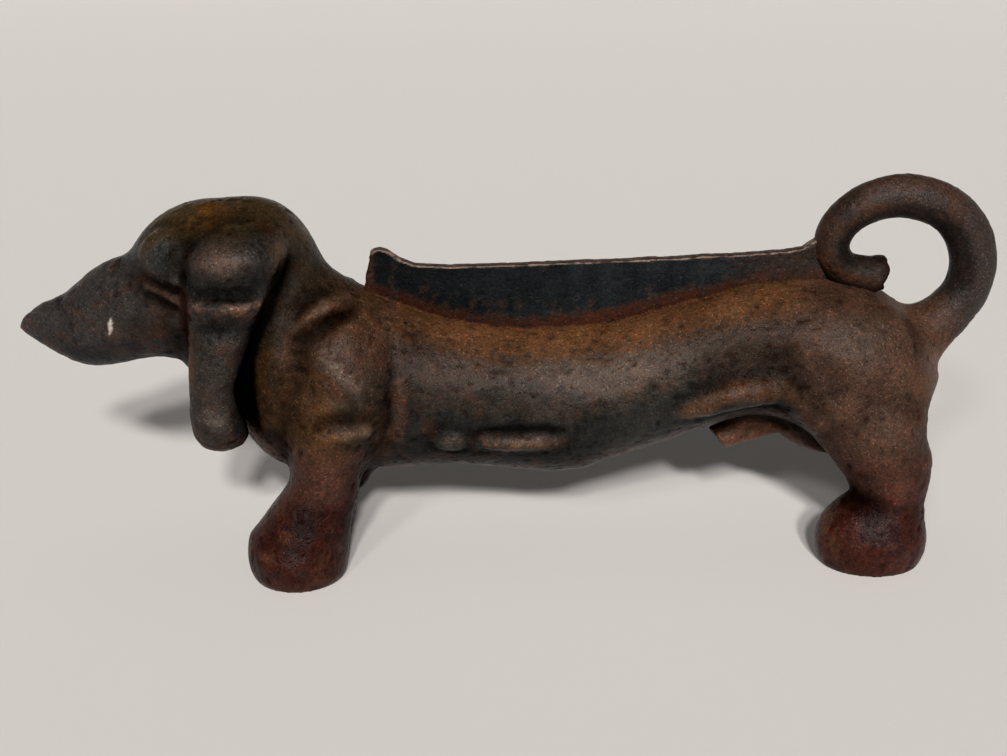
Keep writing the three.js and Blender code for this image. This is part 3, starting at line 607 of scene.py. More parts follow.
def read(ob):
    me = ob.data
    v = np.empty(len(me.vertices) * 3, np.float32)
    me.vertices.foreach_get("co", v)
    n = np.empty(len(me.vertices) * 3, np.float32)
    me.vertex_normals.foreach_get("vector", n)
    return v.reshape(-1, 3).astype(float) * 1000.0 - [X_SHIFT, 0, 0], n.reshape(-1, 3).astype(float)


def half(ob, name, keep):
    """One side of the parted casting, closed on the parting plane."""
    bm = bmesh.new()
    bm.from_mesh(ob.data)
    geom = list(bm.verts) + list(bm.edges) + list(bm.faces)
    bmesh.ops.bisect_plane(bm, geom=geom, dist=1e-6, plane_co=(0, keep * SEAM / 1000.0, 0), plane_no=(0, -keep, 0), clear_outer=True)
    rim = [e for e in bm.edges if e.is_boundary]
    made = bmesh.ops.triangle_fill(bm, use_beauty=True, use_dissolve=False, edges=rim, normal=(0, -keep, 0))
    for g in made["geom"]:
        if isinstance(g, bmesh.types.BMFace):
            g.smooth = False
    bmesh.ops.recalc_face_normals(bm, faces=bm.faces)
    for e in rim:
        if e.is_valid:
            e.smooth = False
    me = bpy.data.meshes.new(name)
    bm.to_mesh(me)
    bm.free()
    out = bpy.data.objects.new(name, me)
    bpy.context.scene.collection.objects.link(out)
    return out


# ------------------------------------------------------------------ colours
BROWN = np.array([0.150, 0.090, 0.058])
TAN = np.array([0.230, 0.190, 0.158])
ORANGE = np.array([0.250, 0.130, 0.054])
RUST = np.array([0.190, 0.078, 0.034])
CHAR = np.array([0.078, 0.072, 0.067])
SLATE = np.array([0.046, 0.055, 0.058])
OLIVE = np.array([0.092, 0.066, 0.026])
MAROON = np.array([0.105, 0.040, 0.031])
PLUM = np.array([0.052, 0.032, 0.036])
BLACK = np.array([0.014, 0.014, 0.015])
PAINT = np.array([0.017, 0.025, 0.032])
PALE = np.array([1.5, 1.7, 1.75])


TONE = np.array([0.37, 0.308, 0.276])
GLOSS = 0.115


def over(c, colour, mask):
    m = np.clip(mask, 0, 1)[:, None]
    return c * (1 - m) + np.asarray(colour) * m


def openness(P, N):
    """1 in the open, towards 0 down in folds and gaps."""
    out = np.ones(len(P))
    for d, w in ((4, 0.45), (10, 0.35), (20, 0.3)):
        f = np.minimum(forms(P + N * d, 22.0), d)
        out -= w * np.clip(1 - f / d, 0, 1)
    return np.clip(out, 0, 1)


def swell(P, N):
    """Above 0 on bumps, below 0 in hollows, at a fine and a broad size."""
    side = np.cross(N, np.where(np.abs(N[:, 2:]) < 0.8, [[0.0, 0.0, 1.0]], [[1.0, 0.0, 0.0]]))
    side /= np.maximum(np.linalg.norm(side, axis=1, keepdims=True), 1e-9)
    other = np.cross(N, side)
    out = []
    for r in (4.0, 11.0):
        total = 0.0
        for a in np.arange(6) * math.pi / 3:
            total = total + forms(P + r * (math.cos(a) * side + math.sin(a) * other), 12.0)
        out.append(np.clip(total / 6 / r, -0.6, 0.6))
    return out


def off_line(x, z, points):
    """Distance in side view to a broken line."""
    best = np.full(len(x), 1e9)
    for (ax, az), (bx, bz) in zip(points[:-1], points[1:]):
        ex, ez = bx - ax, bz - az
        t = np.clip(((x - ax) * ex + (z - az) * ez) / (ex * ex + ez * ez), 0, 1)
        best = np.minimum(best, np.hypot(x - ax - t * ex, z - az - t * ez))
    return best


def patch(x, z, at, size, sharp=1.0):
    """1 in the middle of an oval, in side view, falling to 0 outside it."""
    return np.exp(-(((x - at[0]) / size[0]) ** 2 + ((z - at[1]) / size[1]) ** 2) ** sharp)


def casting_tint(P, N):
    x, y, z = P.T
    ay = np.abs(y)
    stir = P + 4.0 * np.column_stack([noise(P, 8, 71), noise(P, 8, 72), noise(P, 8, 73)])
    n1, n2, n3 = fbm(stir, 34, 21), fbm(stir, 14, 22), fbm(stir, 6, 23)
    wob = P + 3.0 * np.column_stack([n2, n3, -n2])
    wx, wz = wob[:, 0], wob[:, 2]
    zc = along(np.clip(x, -122, 240), TRUNK_CURVE)[0]
    rough = np.full(len(P), 0.42) + 0.05 * n2
    c = np.tile(BROWN, (len(P), 1))
    # barrel: grey along the upper side, part worn metal and part painted sheen, with a painted highlight midway along;
    # dark old paint under it, dusty rust on top
    barrel = step(-70, -50, x) * step(140, 100, x)
    c = c * (1 - 0.52 * barrel)[:, None]
    c = over(c, TAN, (0.16 + 0.74 * patch(x, z, (48, 116), (44, 40))) * barrel * np.exp(-((z - zc - 20 + 3 * n1) / 15) ** 2))
    low = step(-66, -56, x) * step(150, 104, x)
    up = 7 * step(60, 36, x)
    mixed = low * step(15 + up, 6 + 0.6 * up, z - zc + 5 * n2)
    c = over(c, np.array([0.050, 0.046, 0.034]), 0.9 * mixed)
    c = over(c, RUST * 0.7, 0.5 * mixed * step(0.2, 0.5, n3 + 0.4 * n2))
    slate = low * step(5, -4, z - zc + 5 * n2)
    c = over(c, SLATE * 0.8, 0.92 * slate)
    c = over(c, RUST * 0.6, slate * 0.5 * step(0.34, 0.6, n2 + 0.4 * n3))
    c = over(c, RUST * 0.75, slate * 0.65 * step(-22, -32, z - zc + 6 * n2) * step(-0.2, 0.3, n3))
    c = over(c, np.array([0.150, 0.094, 0.060]), 0.85 * patch(wx, wz, (9, 80.5), (25, 5.6), 2) * step(28, 33, ay) * step(-0.6, 0.0, n3))
    c = over(c, np.array([0.070, 0.062, 0.048]), 0.75 * patch(wx, wz, (-28, 81.5), (9, 6.5), 2) * step(28, 33, ay) * step(-0.4, 0.2, n3))
    # painted shade in the crease above the long low bump on the flank
    c = over(c, SLATE * 0.4, 0.5 * np.exp(-(off_line(wx, wz, [(-15, 86.4), (2, 87.4), (19, 88.2), (31, 87.6)]) / 1.5) ** 2) * step(28, 33, ay))
    rough -= 0.06 * slate
    back = step(-90, -72, x) * step(0.62, 0.88, N[:, 2] + 0.08 * n2 + 0.04 * n3) * step(232, 212, x) * step(100, 120, z)
    c = over(c, ORANGE * [0.92, 0.90, 0.88], 0.92 * back)
    rough += 0.22 * back
    # loin and the fold of the flank
    loin = step(92, 112, x) * step(170, 150, x) * step(28, 33, ay)
    c = c * (1 - 0.48 * loin)[:, None]
    # painted shade in the hollow of the loin above the fold
    c = over(c, np.array([0.050, 0.036, 0.021]), 0.85 * patch(wx, wz, (126, 131), (27, 11)) * step(22, 30, ay))
    fold = np.exp(-(off_line(wx, wz, [(99, 97), (109, 104), (122, 109.5), (137, 112.5), (150, 111.5), (157, 104)]) / 6.0) ** 4) * step(24, 34, ay)
    c = over(c, np.array([0.098, 0.054, 0.027]), 0.85 * fold)
    # painted shade in the crease along the top of the flank fold
    c = over(c, SLATE * 0.9, 0.3 * np.exp(-(off_line(wx, wz, [(95, 104.5), (109, 111.6), (122, 116.6), (135, 119.2), (148, 119.6)]) / 2.4) ** 2) * step(24, 34, ay) * step(158, 145, x))
    # painted shade under the flank fold
    c = over(c, SLATE * 0.6, 0.85 * np.exp(-(off_line(wx, wz, [(112, 93), (124, 96.5), (137, 99), (150, 100), (160, 90)]) / 4.5) ** 2))
    # shoulder and elbow
    sh = step(-118, -104, x) * step(-56, -66, x) * step(70, 84, z)
    c = over(c, BROWN * 0.56, 0.92 * sh)
    c = over(c, np.array([0.056, 0.050, 0.035]), sh * 0.7 * step(-0.05, 0.3, n2 + 0.018 * (x + 84) - 0.01 * (z - 110)))
    c = over(c, RUST * 0.75, sh * 0.55 * step(0.15, 0.45, fbm(stir, 9, 24)))
    c = c * (1 - 0.22 * sh * patch(x, z, (-90, 126), (18, 20)))[:, None]
    c = over(c, BROWN * 0.95, 0.6 * patch(wx, wz, (-65, 137), (7, 13)))
    # painted highlight along the upper front of the shoulder
    c = over(c, TAN * 0.9, sh * 0.75 * np.exp(-(off_line(wx, wz, [(-95, 133), (-86, 125), (-77, 115)]) / 4) ** 2) * step(-0.5, 0.1, n3))
    c = over(c, np.array([0.200, 0.115, 0.050]), sh * 0.7 * patch(wx, wz, (-98, 110), (6, 4)))
    # painted highlight along the elbow ridge
    c = over(c, np.array([0.230, 0.160, 0.110]), sh * 0.8 * np.exp(-(off_line(x, z, [(-96, 91), (-85, 91.5), (-75, 91)]) / 3.4) ** 2))
    c = over(c, RUST * 0.6, 0.55 * np.exp(-(off_line(wx, wz, [(-55.5, 115), (-56.5, 99), (-58, 84)]) / 3.5) ** 2) * step(24, 30, ay))
    # painted shade down the groove behind the shoulder
    c = over(c, SLATE * 0.4, 0.7 * np.exp(-(off_line(wx, wz, [(-60, 121), (-61.6, 111), (-63, 99), (-65, 88), (-66.5, 80)]) / 1.5) ** 2) * step(24, 30, ay))
    # neck, throat and chest
    neck = step(-144, -134, x + 4 * n2) * step(-90, -106, x + 0.35 * (z - 120)) * step(64, 78, z)
    c = over(c, np.array([0.122, 0.066, 0.026]), 0.92 * neck)
    c = over(c, np.array([0.070, 0.038, 0.018]), 0.6 * neck * step(0.0, 0.4, n2))
    nape = step(-84, -94, x + 3 * n2) * step(154, 166, z + 0.4 * (x + 105) + 4 * n2)
    c = over(c, np.array([0.108, 0.080, 0.040]), 0.92 * nape)
    c = over(c, SLATE * 1.2, 0.5 * nape * step(0.0, 0.4, fbm(stir, 12, 27)))
    c = over(c, np.array([0.066, 0.068, 0.058]), 0.8 * patch(wx, wz, (-111, 168), (9, 13)))
    c = over(c, np.array([0.190, 0.112, 0.052]), 0.8 * patch(wx, wz, (-74, 153), (9, 7)))
    # painted highlight along the ridge of the neck fold
    c = over(c, np.array([0.130, 0.080, 0.050]), 0.7 * np.exp(-(off_line(wx, wz, [(-106, 148), (-102.6, 150.7), (-94, 155), (-86, 156.6)]) / 3.6) ** 2) * step(8, 14, ay))
    # painted shade in the crease under the neck fold
    c = over(c, np.array([0.040, 0.026, 0.013]), 0.5 * np.exp(-(off_line(wx, wz, [(-108, 143), (-102.8, 146.4), (-94, 149.6), (-81, 152.4)]) / 2.2) ** 2) * step(12, 18, ay))
    # head
    head = step(1, -6, x + 127 - 0.346 * (np.minimum(z, 178) - 145) + 2 * n2) * step(70, 80, z)
    c = over(c, CHAR * 0.70, head)
    c = over(c, OLIVE * 0.92, head * step(182, 194, z + 4 * n2) * 0.92)
    c = over(c, RUST * 0.62, head * 0.5 * step(0.1, 0.5, n2))
    c = over(c, np.array([0.20, 0.095, 0.014]), head * 0.85 * patch(wx, z, (-157, 204), (10, 6)) * step(-0.4, 0.2, n3))
    muzzle = step(-186, -200, x + 4 * n2)
    c = over(c, np.array([0.051, 0.054, 0.056]), muzzle)
    c = over(c, np.array([0.074, 0.050, 0.040]), 0.75 * muzzle * np.exp(-((z - 137 + 3 * n2) / 9) ** 2) * step(-0.4, 0.2, n2))
    # painted shade on the underside of the muzzle, on surfaces that face down
    c = over(c, np.array([0.024, 0.028, 0.036]), 0.85 * muzzle * step(0.0, -0.5, N[:, 2] + 0.12 * n2))
    c = over(c, np.array([0.030, 0.034, 0.042]), 0.7 * patch(wx, wz, (-259, 139), (11, 8)))
    c = c * (1 - 0.28 * patch(x, z, (-188, 143), (10, 13)) - 0.15 * patch(x, z, (-226, 158), (16, 9)))[:, None]
    c = over(c, np.array([0.050, 0.054, 0.046]), 0.5 * patch(wx, wz, (-187, 153), (8, 7)))
    c = over(c, RUST * 0.5, muzzle * 0.4 * step(0.15, 0.5, fbm(stir, 8, 25)))
    eye = np.exp(-(((wx + 177) / 9.5) ** 2 + ((wz - 184.5) / 9.5) ** 2) ** 2) * step(20, 26, ay) * step(170, 174, z - 0.35 * (x + 180))
    c = over(c, np.array([0.042, 0.058, 0.064]), 0.9 * eye * step(-0.7, 0.0, n2))
    # painted shade in the crease under the eye
    lid = np.exp(-(off_line(x, z, [(-192, 177), (-189.8, 174.4), (-185.5, 171.3), (-179.5, 169.2), (-171, 167.8)]) / 1.5) ** 2) * step(20, 26, ay)
    c = over(c, BLACK, 0.7 * lid)
    c = over(c, RUST * 0.34, 0.7 * np.exp(-(off_line(wx, wz, [(-189, 170.5), (-182, 167), (-172, 163.6)]) / 2.4) ** 2) * step(20, 26, ay))
    c = c * (1 - 0.36 * patch(x, z, (-184.5, 191), (8, 7)))[:, None]
    rough -= 0.05 * eye
    # ear
    ear = step(24, 32, ay) * step(-178, -170, x) * step(-116, -124, x) * step(202, 192, z)
    c = over(c, np.array([0.033, 0.031, 0.028]), 0.92 * ear)
    c = over(c, BROWN * 0.38, ear * 0.6 * step(0.0, 0.4, n2) * step(150, 140, z))
    c = over(c, np.array([0.040, 0.040, 0.040]), 0.85 * ear * step(-136, -128, x + 0.1 * (z - 186)) * step(168, 176, z))
    # painted highlight on the round top of the ear
    c = over(c, np.array([0.115, 0.086, 0.074]), 0.9 * ear * patch(wx, wz, (-143.5, 187.5), (10.5, 8), 1.3))
    # painted shade in the groove under the ear's top, darkest in the crease above the ridge
    c = over(c, SLATE * 1.5, 0.8 * ear * np.exp(-((z - 170) / 5.0) ** 2))
    c = over(c, BLACK, 0.3 * ear * np.exp(-((wz - 165.2) / 1.2) ** 2))
    # painted highlight along the thin ridge across the ear
    c = over(c, np.array([0.200, 0.134, 0.104]), 0.9 * ear * np.exp(-((wz - 160.8 - 0.03 * (x + 143)) / 2.8) ** 2) * step(-0.45, 0.15, n3))
    c = over(c, RUST * 0.8, 0.6 * ear * np.exp(-((z - 158) / 3.0) ** 2) * step(0.0, 0.4, n3))
    # painted shade in the groove under the ridge
    c = over(c, SLATE * 1.0, 0.8 * ear * np.exp(-((z - 149.5) / 4.6) ** 2))
    c = over(c, RUST * 0.42, 0.7 * ear * patch(wx, wz, (-146, 140), (5, 3)))
    # painted highlight low on the ear's lobe
    c = over(c, np.array([0.125, 0.112, 0.104]), 0.85 * ear * patch(wx, wz, (-155.5, 102.5), (7, 4.5)))
    # painted shade and dark old paint on the back of the lobe, which turns away from the light
    c = over(c, BLACK * 0.5, 0.95 * ear * step(-148, -140.5, x - 0.25 * np.maximum(z - 116, 0) - 0.1 * np.maximum(110 - z, 0) + 1.5 * n2) * step(158, 148, z))
    c = over(c, np.array([0.032, 0.021, 0.018]), 0.8 * ear * step(93, 86, z))
    edge = ear * np.exp(-((x + 167.5) / 3.5) ** 2) * step(115, 125, z) * step(176, 164, z)
    c = over(c, RUST * 0.75, 0.65 * edge)
    # dark old paint and painted shade in the gap behind the ear
    gap = off_line(x + 0.6 * n2, z, [(-112.5, 183), (-116.6, 172), (-122.6, 157), (-128.4, 142), (-135, 127), (-139.4, 112), (-140.5, 92)])
    c = over(c, np.array([0.010, 0.011, 0.012]), 0.95 * np.exp(-(gap / np.interp(z, [88, 130, 183], [4.6, 4.6, 2.0])) ** 2) * step(14, 22, ay))
    # thigh and rump
    rump = step(150, 168, x) * step(58, 72, z)
    c = over(c, BROWN * [0.92, 0.94, 1.04], 0.75 * rump * (1 - fold))
    c = over(c, TAN * 0.85, 0.4 * rump * patch(wx, wz, (190, 138), (26, 11)))
    # painted highlight on the front of the thigh
    c = over(c, np.array([0.180, 0.118, 0.080]), 0.6 * rump * patch(wx, wz, (169, 95), (15, 13)) * step(20, 28, ay))
    c = over(c, ORANGE * 0.66, 0.7 * patch(wx, wz, (229, 105), (10, 11)))
    c = c * (1 - 0.3 * step(118, 130, z) * step(214, 226, x))[:, None]
    # legs and feet
    leg = step(78, 58, z + 4 * n2) * step(150, 165, x) + step(86, 64, z + 4 * n2) * step(-70, -78, x)
    c = over(c, np.array([0.104, 0.044, 0.032]), 0.85 * leg)
    foot = step(56, 40, z + 4 * n2) * (step(-66, -78, x) + step(150, 165, x))
    c = over(c, MAROON * [0.60, 0.44, 0.37], 0.95 * foot)
    c = over(c, PLUM * [0.75, 0.58, 0.55], foot * 0.8 * step(0.0, 0.4, n2 + 0.3 * n3))
    c = c * (1 - 0.16 * foot * (x < 0))[:, None]
    c = over(c, PLUM * [0.6, 0.5, 0.52], foot * 0.4 * step(224, 236, x + 4 * n2))
    # painted highlights on the hind ankle and foot
    c = c * (1 + 0.55 * patch(x, z, (213, 44), (9, 20)) + 0.4 * patch(x, z, (216, 16), (10, 12)))[:, None]
    c = over(c, RUST * 0.6, foot * 0.5 * step(0.25, 0.55, fbm(stir, 11, 26)))
    c = over(c, ORANGE * 0.6, foot * 0.6 * np.exp(-((x - 180) / 5) ** 2) * step(-0.2, 0.3, n3))
    c = over(c, RUST * 0.3, 0.7 * step(7, 2, z))
    # painted shade down the back of the fore leg, and a darker patch further forward
    c = c * (1 - 0.5 * step(-94, -80, x) * step(-60, -70, x) * step(80, 60, z) - 0.3 * patch(x, z, (-111, 62), (7, 14)))[:, None]
    # painted shade where the flank fold meets the thigh
    c = over(c, np.array([0.034, 0.016, 0.011]), 0.75 * patch(wx, wz, (165, 90), (7, 9)))
    c = over(c, np.array([0.030, 0.013, 0.011]), 0.6 * patch(wx, wz, (198, 56), (7, 6)))
    # painted shade on the underside of the belly, on surfaces that face down
    c = c * (1 - 0.4 * step(-0.2, -0.6, N[:, 2]) * step(-70, -60, x) * step(60, 40, x))[:, None]
    rough -= 0.10 * foot
    # inside of the legs, groin and the short stub
    stub = step(112, 116, x) * step(168, 155, x) * step(88, 78, z) * step(12, 8, ay)
    c = over(c, np.array([0.140, 0.072, 0.046]), 0.8 * stub)
    c = over(c, np.array([0.034, 0.013, 0.010]), 0.9 * stub * step(-0.35, -0.7, N[:, 0]))
    # painted shade down in the folds and gaps and painted light on the bumps, at a fine and a broad size; the deep
    # folds also turn redder with rust
    o = openness(P, N)
    deep = np.clip(1 - o, 0, 1)
    c = c * (0.06 + 0.94 * o ** 2)[:, None]
    fine, wide = swell(P, N)
    c = c * np.clip(1 + 1.8 * (fine - 0.05) + 2.0 * (wide - 0.13), 0.25, 1.6)[:, None]
    c = over(c, c * [1.2, 0.86, 0.68], 0.6 * step(0.15, 0.5, deep))
    # painted light on the neck beside the ear and on the open side of the folds, where daylight reaches
    beside = x - np.interp(z, [95, 116, 130, 146, 160], [-132.5, -132.5, -131, -125, -118])
    neck_side = step(-1.5, 2.5, beside + 1.2 * n2) * step(17, 9, beside) * step(82, 92, z) * step(166, 150, z) * step(18, 24, ay) * (x < -100)
    c = over(c, np.array([0.058, 0.033, 0.014]) * (1 + 0.7 * n3)[:, None], 0.8 * neck_side * step(148, 132, z + 3 * n2))
    c = over(c, np.array([0.032, 0.027, 0.017]) * (1 + 0.7 * n3)[:, None], 0.75 * neck_side * step(132, 148, z + 3 * n2))
    c = over(c, np.array([0.130, 0.080, 0.040]), 0.6 * patch(wx, wz, (-104.5, 107), (6, 8)) * step(20, 30, ay))
    # brighter and darker patches: partly painted light and painted shade on ridges, creases and the sides of the legs,
    # partly a change of tone
    light_shade_and_tone_gain = 0.8 * patch(x, z, (-65, 137), (7, 11)) + 1.5 * patch(x, z, (-66, 89), (5, 11)) + 0.35 * patch(x, z, (-197, 178), (6, 7)) + 0.35 * patch(x, z, (-165, 191), (6, 6)) + 0.4 * patch(x, z, (-96, 97), (9, 5))
    light_shade_and_tone_gain += 0.3 * patch(x, z, (213, 38), (7, 8)) + 0.28 * patch(x, z, (22, 134), (36, 5)) + 0.9 * patch(x, z, (141, 80), (9, 4)) * step(16, 12, ay)
    light_shade_and_tone_gain += 0.45 * patch(x, z, (-177, 166), (9, 6)) + 0.25 * patch(x, z, (-92, 165), (12, 10)) + 0.8 * np.exp(-(off_line(x, z, [(99, 107), (109, 112), (122, 117), (135, 119.5), (146, 119)]) / 4) ** 2) * step(20, 30, ay)
    light_shade_and_tone_gain -= 0.34 * patch(x, z, (0, 109), (46, 9)) * step(20, 28, ay) + 0.35 * patch(x, z, (156, 97), (12, 8)) + 0.2 * patch(x, z, (210, 85), (10, 10)) + 0.12 * patch(x, z, (182, 111), (18, 10))
    light_shade_and_tone_gain -= 0.35 * patch(x, z, (-83, 45), (8, 26)) + 0.35 * patch(x, z, (-110, 39), (8, 8)) + 0.4 * ear * step(-163, -168, x) * step(132, 122, z)
    light_shade_and_tone_gain -= 0.3 * patch(x, z, (-108, 146), (7, 12)) * step(20, 26, ay)
    c = c * (1 + light_shade_and_tone_gain)[:, None]
    # a fleck of light paint on the left of the muzzle
    tiny = noise(P, 2.2, 28)
    fleck = step(1.0, 0.5, ((x + 210.7 - 0.12 * (z - 144.7) + 0.7 * tiny) / (1.15 + 0.5 * n3)) ** 2 + ((z - 144.7) / 5.0) ** 2 + 0.5 * tiny) * (y < 0)
    c = over(c, PALE * 0.62, 0.85 * fleck)
    return c, np.clip(rough, 0.28, 0.9)


def blade_tint(P, N):
    x, y, z = P.T
    n1, n2, n3 = fbm(P, 30, 41), fbm(P, 10, 42), fbm(P, 4.5, 43)
    streak = fbm(P * [1.0, 1.0, 0.14], 4.0, 44)
    up = forms(P, 60.0)
    c = PAINT * 0.8 * (1 + 0.25 * streak + 0.3 * n2)[:, None]
    c = c * (1 - 0.4 * step(20, -45, x) + 0.35 * step(20, 60, x) * step(158, 168, z))[:, None]
    rough = np.full(len(P), 0.36) + 0.06 * n2
    c = over(c, np.array([0.052, 0.034, 0.024]), 0.75 * step(0.1, 0.5, n3 + 0.4 * streak) * step(20, 8, up))
    c = c * (1 - 0.3 * patch(x, z, (-38, 146), (30, 8)))[:, None]
    foot = step(8.5, 3.5, up + 2.6 * n2 + 1.5 * n3 - 3 * patch(x, z, (62, 140), (46, 30)))
    c = over(c, np.array([0.070, 0.024, 0.011]) * (1 - 0.35 * step(10, -40, x))[:, None], 0.9 * foot)
    c = over(c, PAINT * 0.8, 0.5 * foot * step(0.1, 0.5, n3))
    c = over(c, ORANGE * 0.7, 0.75 * step(1.5, 0.3, up + 0.7 * n3))
    c = over(c, np.array([0.058, 0.040, 0.030]), 0.7 * step(118, 165, x + 10 * n1))
    top = step(0.35, 0.8, N[:, 2])
    c = over(c, np.array([0.082, 0.040, 0.026]), 0.9 * top)
    # painted highlight along the bevel of the plate's top edge
    rim = step(0.2, 0.5, N[:, 2]) * step(0.93, 0.75, N[:, 2])
    c = over(c, np.array([0.48, 0.42, 0.37]), 0.88 * rim * step(-0.6, 0.0, n3))
    front = step(-68.5, -72, x)
    c = over(c, np.array([0.060, 0.026, 0.017]), 0.85 * front)
    rough += 0.3 * foot + 0.12 * top
    return c, np.clip(rough, 0.3, 0.9)


def tail_tint(P, N):
    x, y, z = P.T
    n1, n2, n3 = fbm(P, 26, 61), fbm(P, 11, 62), fbm(P, 5, 63)
    c = np.tile(np.array([0.066, 0.046, 0.036]), (len(P), 1))
    c = over(c, BROWN * 0.75, 0.7 * step(-0.1, 0.45, n1))
    c = over(c, RUST * 0.7, 0.5 * step(0.1, 0.45, n2))
    c = over(c, SLATE * 0.9, 0.5 * step(0.15, 0.5, fbm(P, 9, 64)))
    c = over(c, np.array([0.056, 0.053, 0.055]), 0.75 * step(236, 252, x) * step(112, 130, z))
    # painted highlight on the upward faces at the top of the loop
    c = over(c, np.array([0.100, 0.068, 0.052]), 0.6 * step(0.3, 0.9, N[:, 2]) * step(178, 196, z))
    # painted shade on the inside of the loop
    inner = step(-0.15, 0.4, -((x - 218) * N[:, 0] + (z - 182) * N[:, 2]) / np.maximum(np.hypot(x - 218, z - 182), 1)) * step(146, 158, z)
    c = over(c, CHAR * 0.28, 0.88 * inner)
    c = over(c, np.array([0.030, 0.016, 0.011]), 0.85 * step(203, 207, x + n3) * step(176, 170, z) * (x < 222))
    # darker towards the left of the loop, and painted shade under the tip of the curl
    c = c * (1 - 0.35 * step(196, 184, x) - 0.4 * step(0.0, -0.6, N[:, 2]) * step(172, 164, z) * (x < 214))[:, None]
    c = over(c, np.array([0.098, 0.094, 0.094]), 0.7 * patch(x, z, (262, 145), (12, 16)) * step(-0.2, 0.5, N[:, 0]))
    # a darker patch on the right of the loop, and a painted highlight along its top
    c = c * (1 - 0.25 * patch(x, z, (246, 190), (10, 9)) + 0.3 * patch(x, z, (217, 211), (18, 6)))[:, None]
    rough = 0.44 + 0.06 * n2
    # it takes the colour of the rump where it leaves it
    root = np.nonzero((plane(P) < 26) & (x > 213))[0]
    if len(root):
        body, skin = casting_tint(P[root], N[root])
        m = 1 - step(2, 24, plane(P[root]) + 4 * n2[root])
        c[root] = body * m[:, None] + c[root] * (1 - m)[:, None]
        rough[root] = skin * m + rough[root] * (1 - m)
    return c, np.clip(rough, 0.3, 0.9)


def screw_tint(P, N):
    n2 = fbm(P, 3.5, 82)
    c = np.tile(np.array([0.105, 0.095, 0.088]), (len(P), 1))
    c = over(c, RUST, 0.8 * step(-0.1, 0.35, n2))
    return c, np.clip(0.45 + 0.15 * n2, 0.3, 0.9)


def paint(ob, rule):
    P, N = read(ob)
    c, rough = rule(P, N)
    # the gloss fades down in folds and gaps, a painted shade on the reflection, and on dark colour
    o = openness(P, N)
    shut = ob.data.attributes.new("open", "FLOAT", "POINT")
    dull = np.clip(c.mean(1) / 0.045, 0.08, 1.0)
    shut.data.foreach_set("value", (GLOSS * dull * o ** 1.5).astype(np.float32))
    a = ob.data.attributes.new("tint", "FLOAT_COLOR", "POINT")
    a.data.foreach_set("color", np.column_stack([c * TONE, rough]).astype(np.float32).ravel())


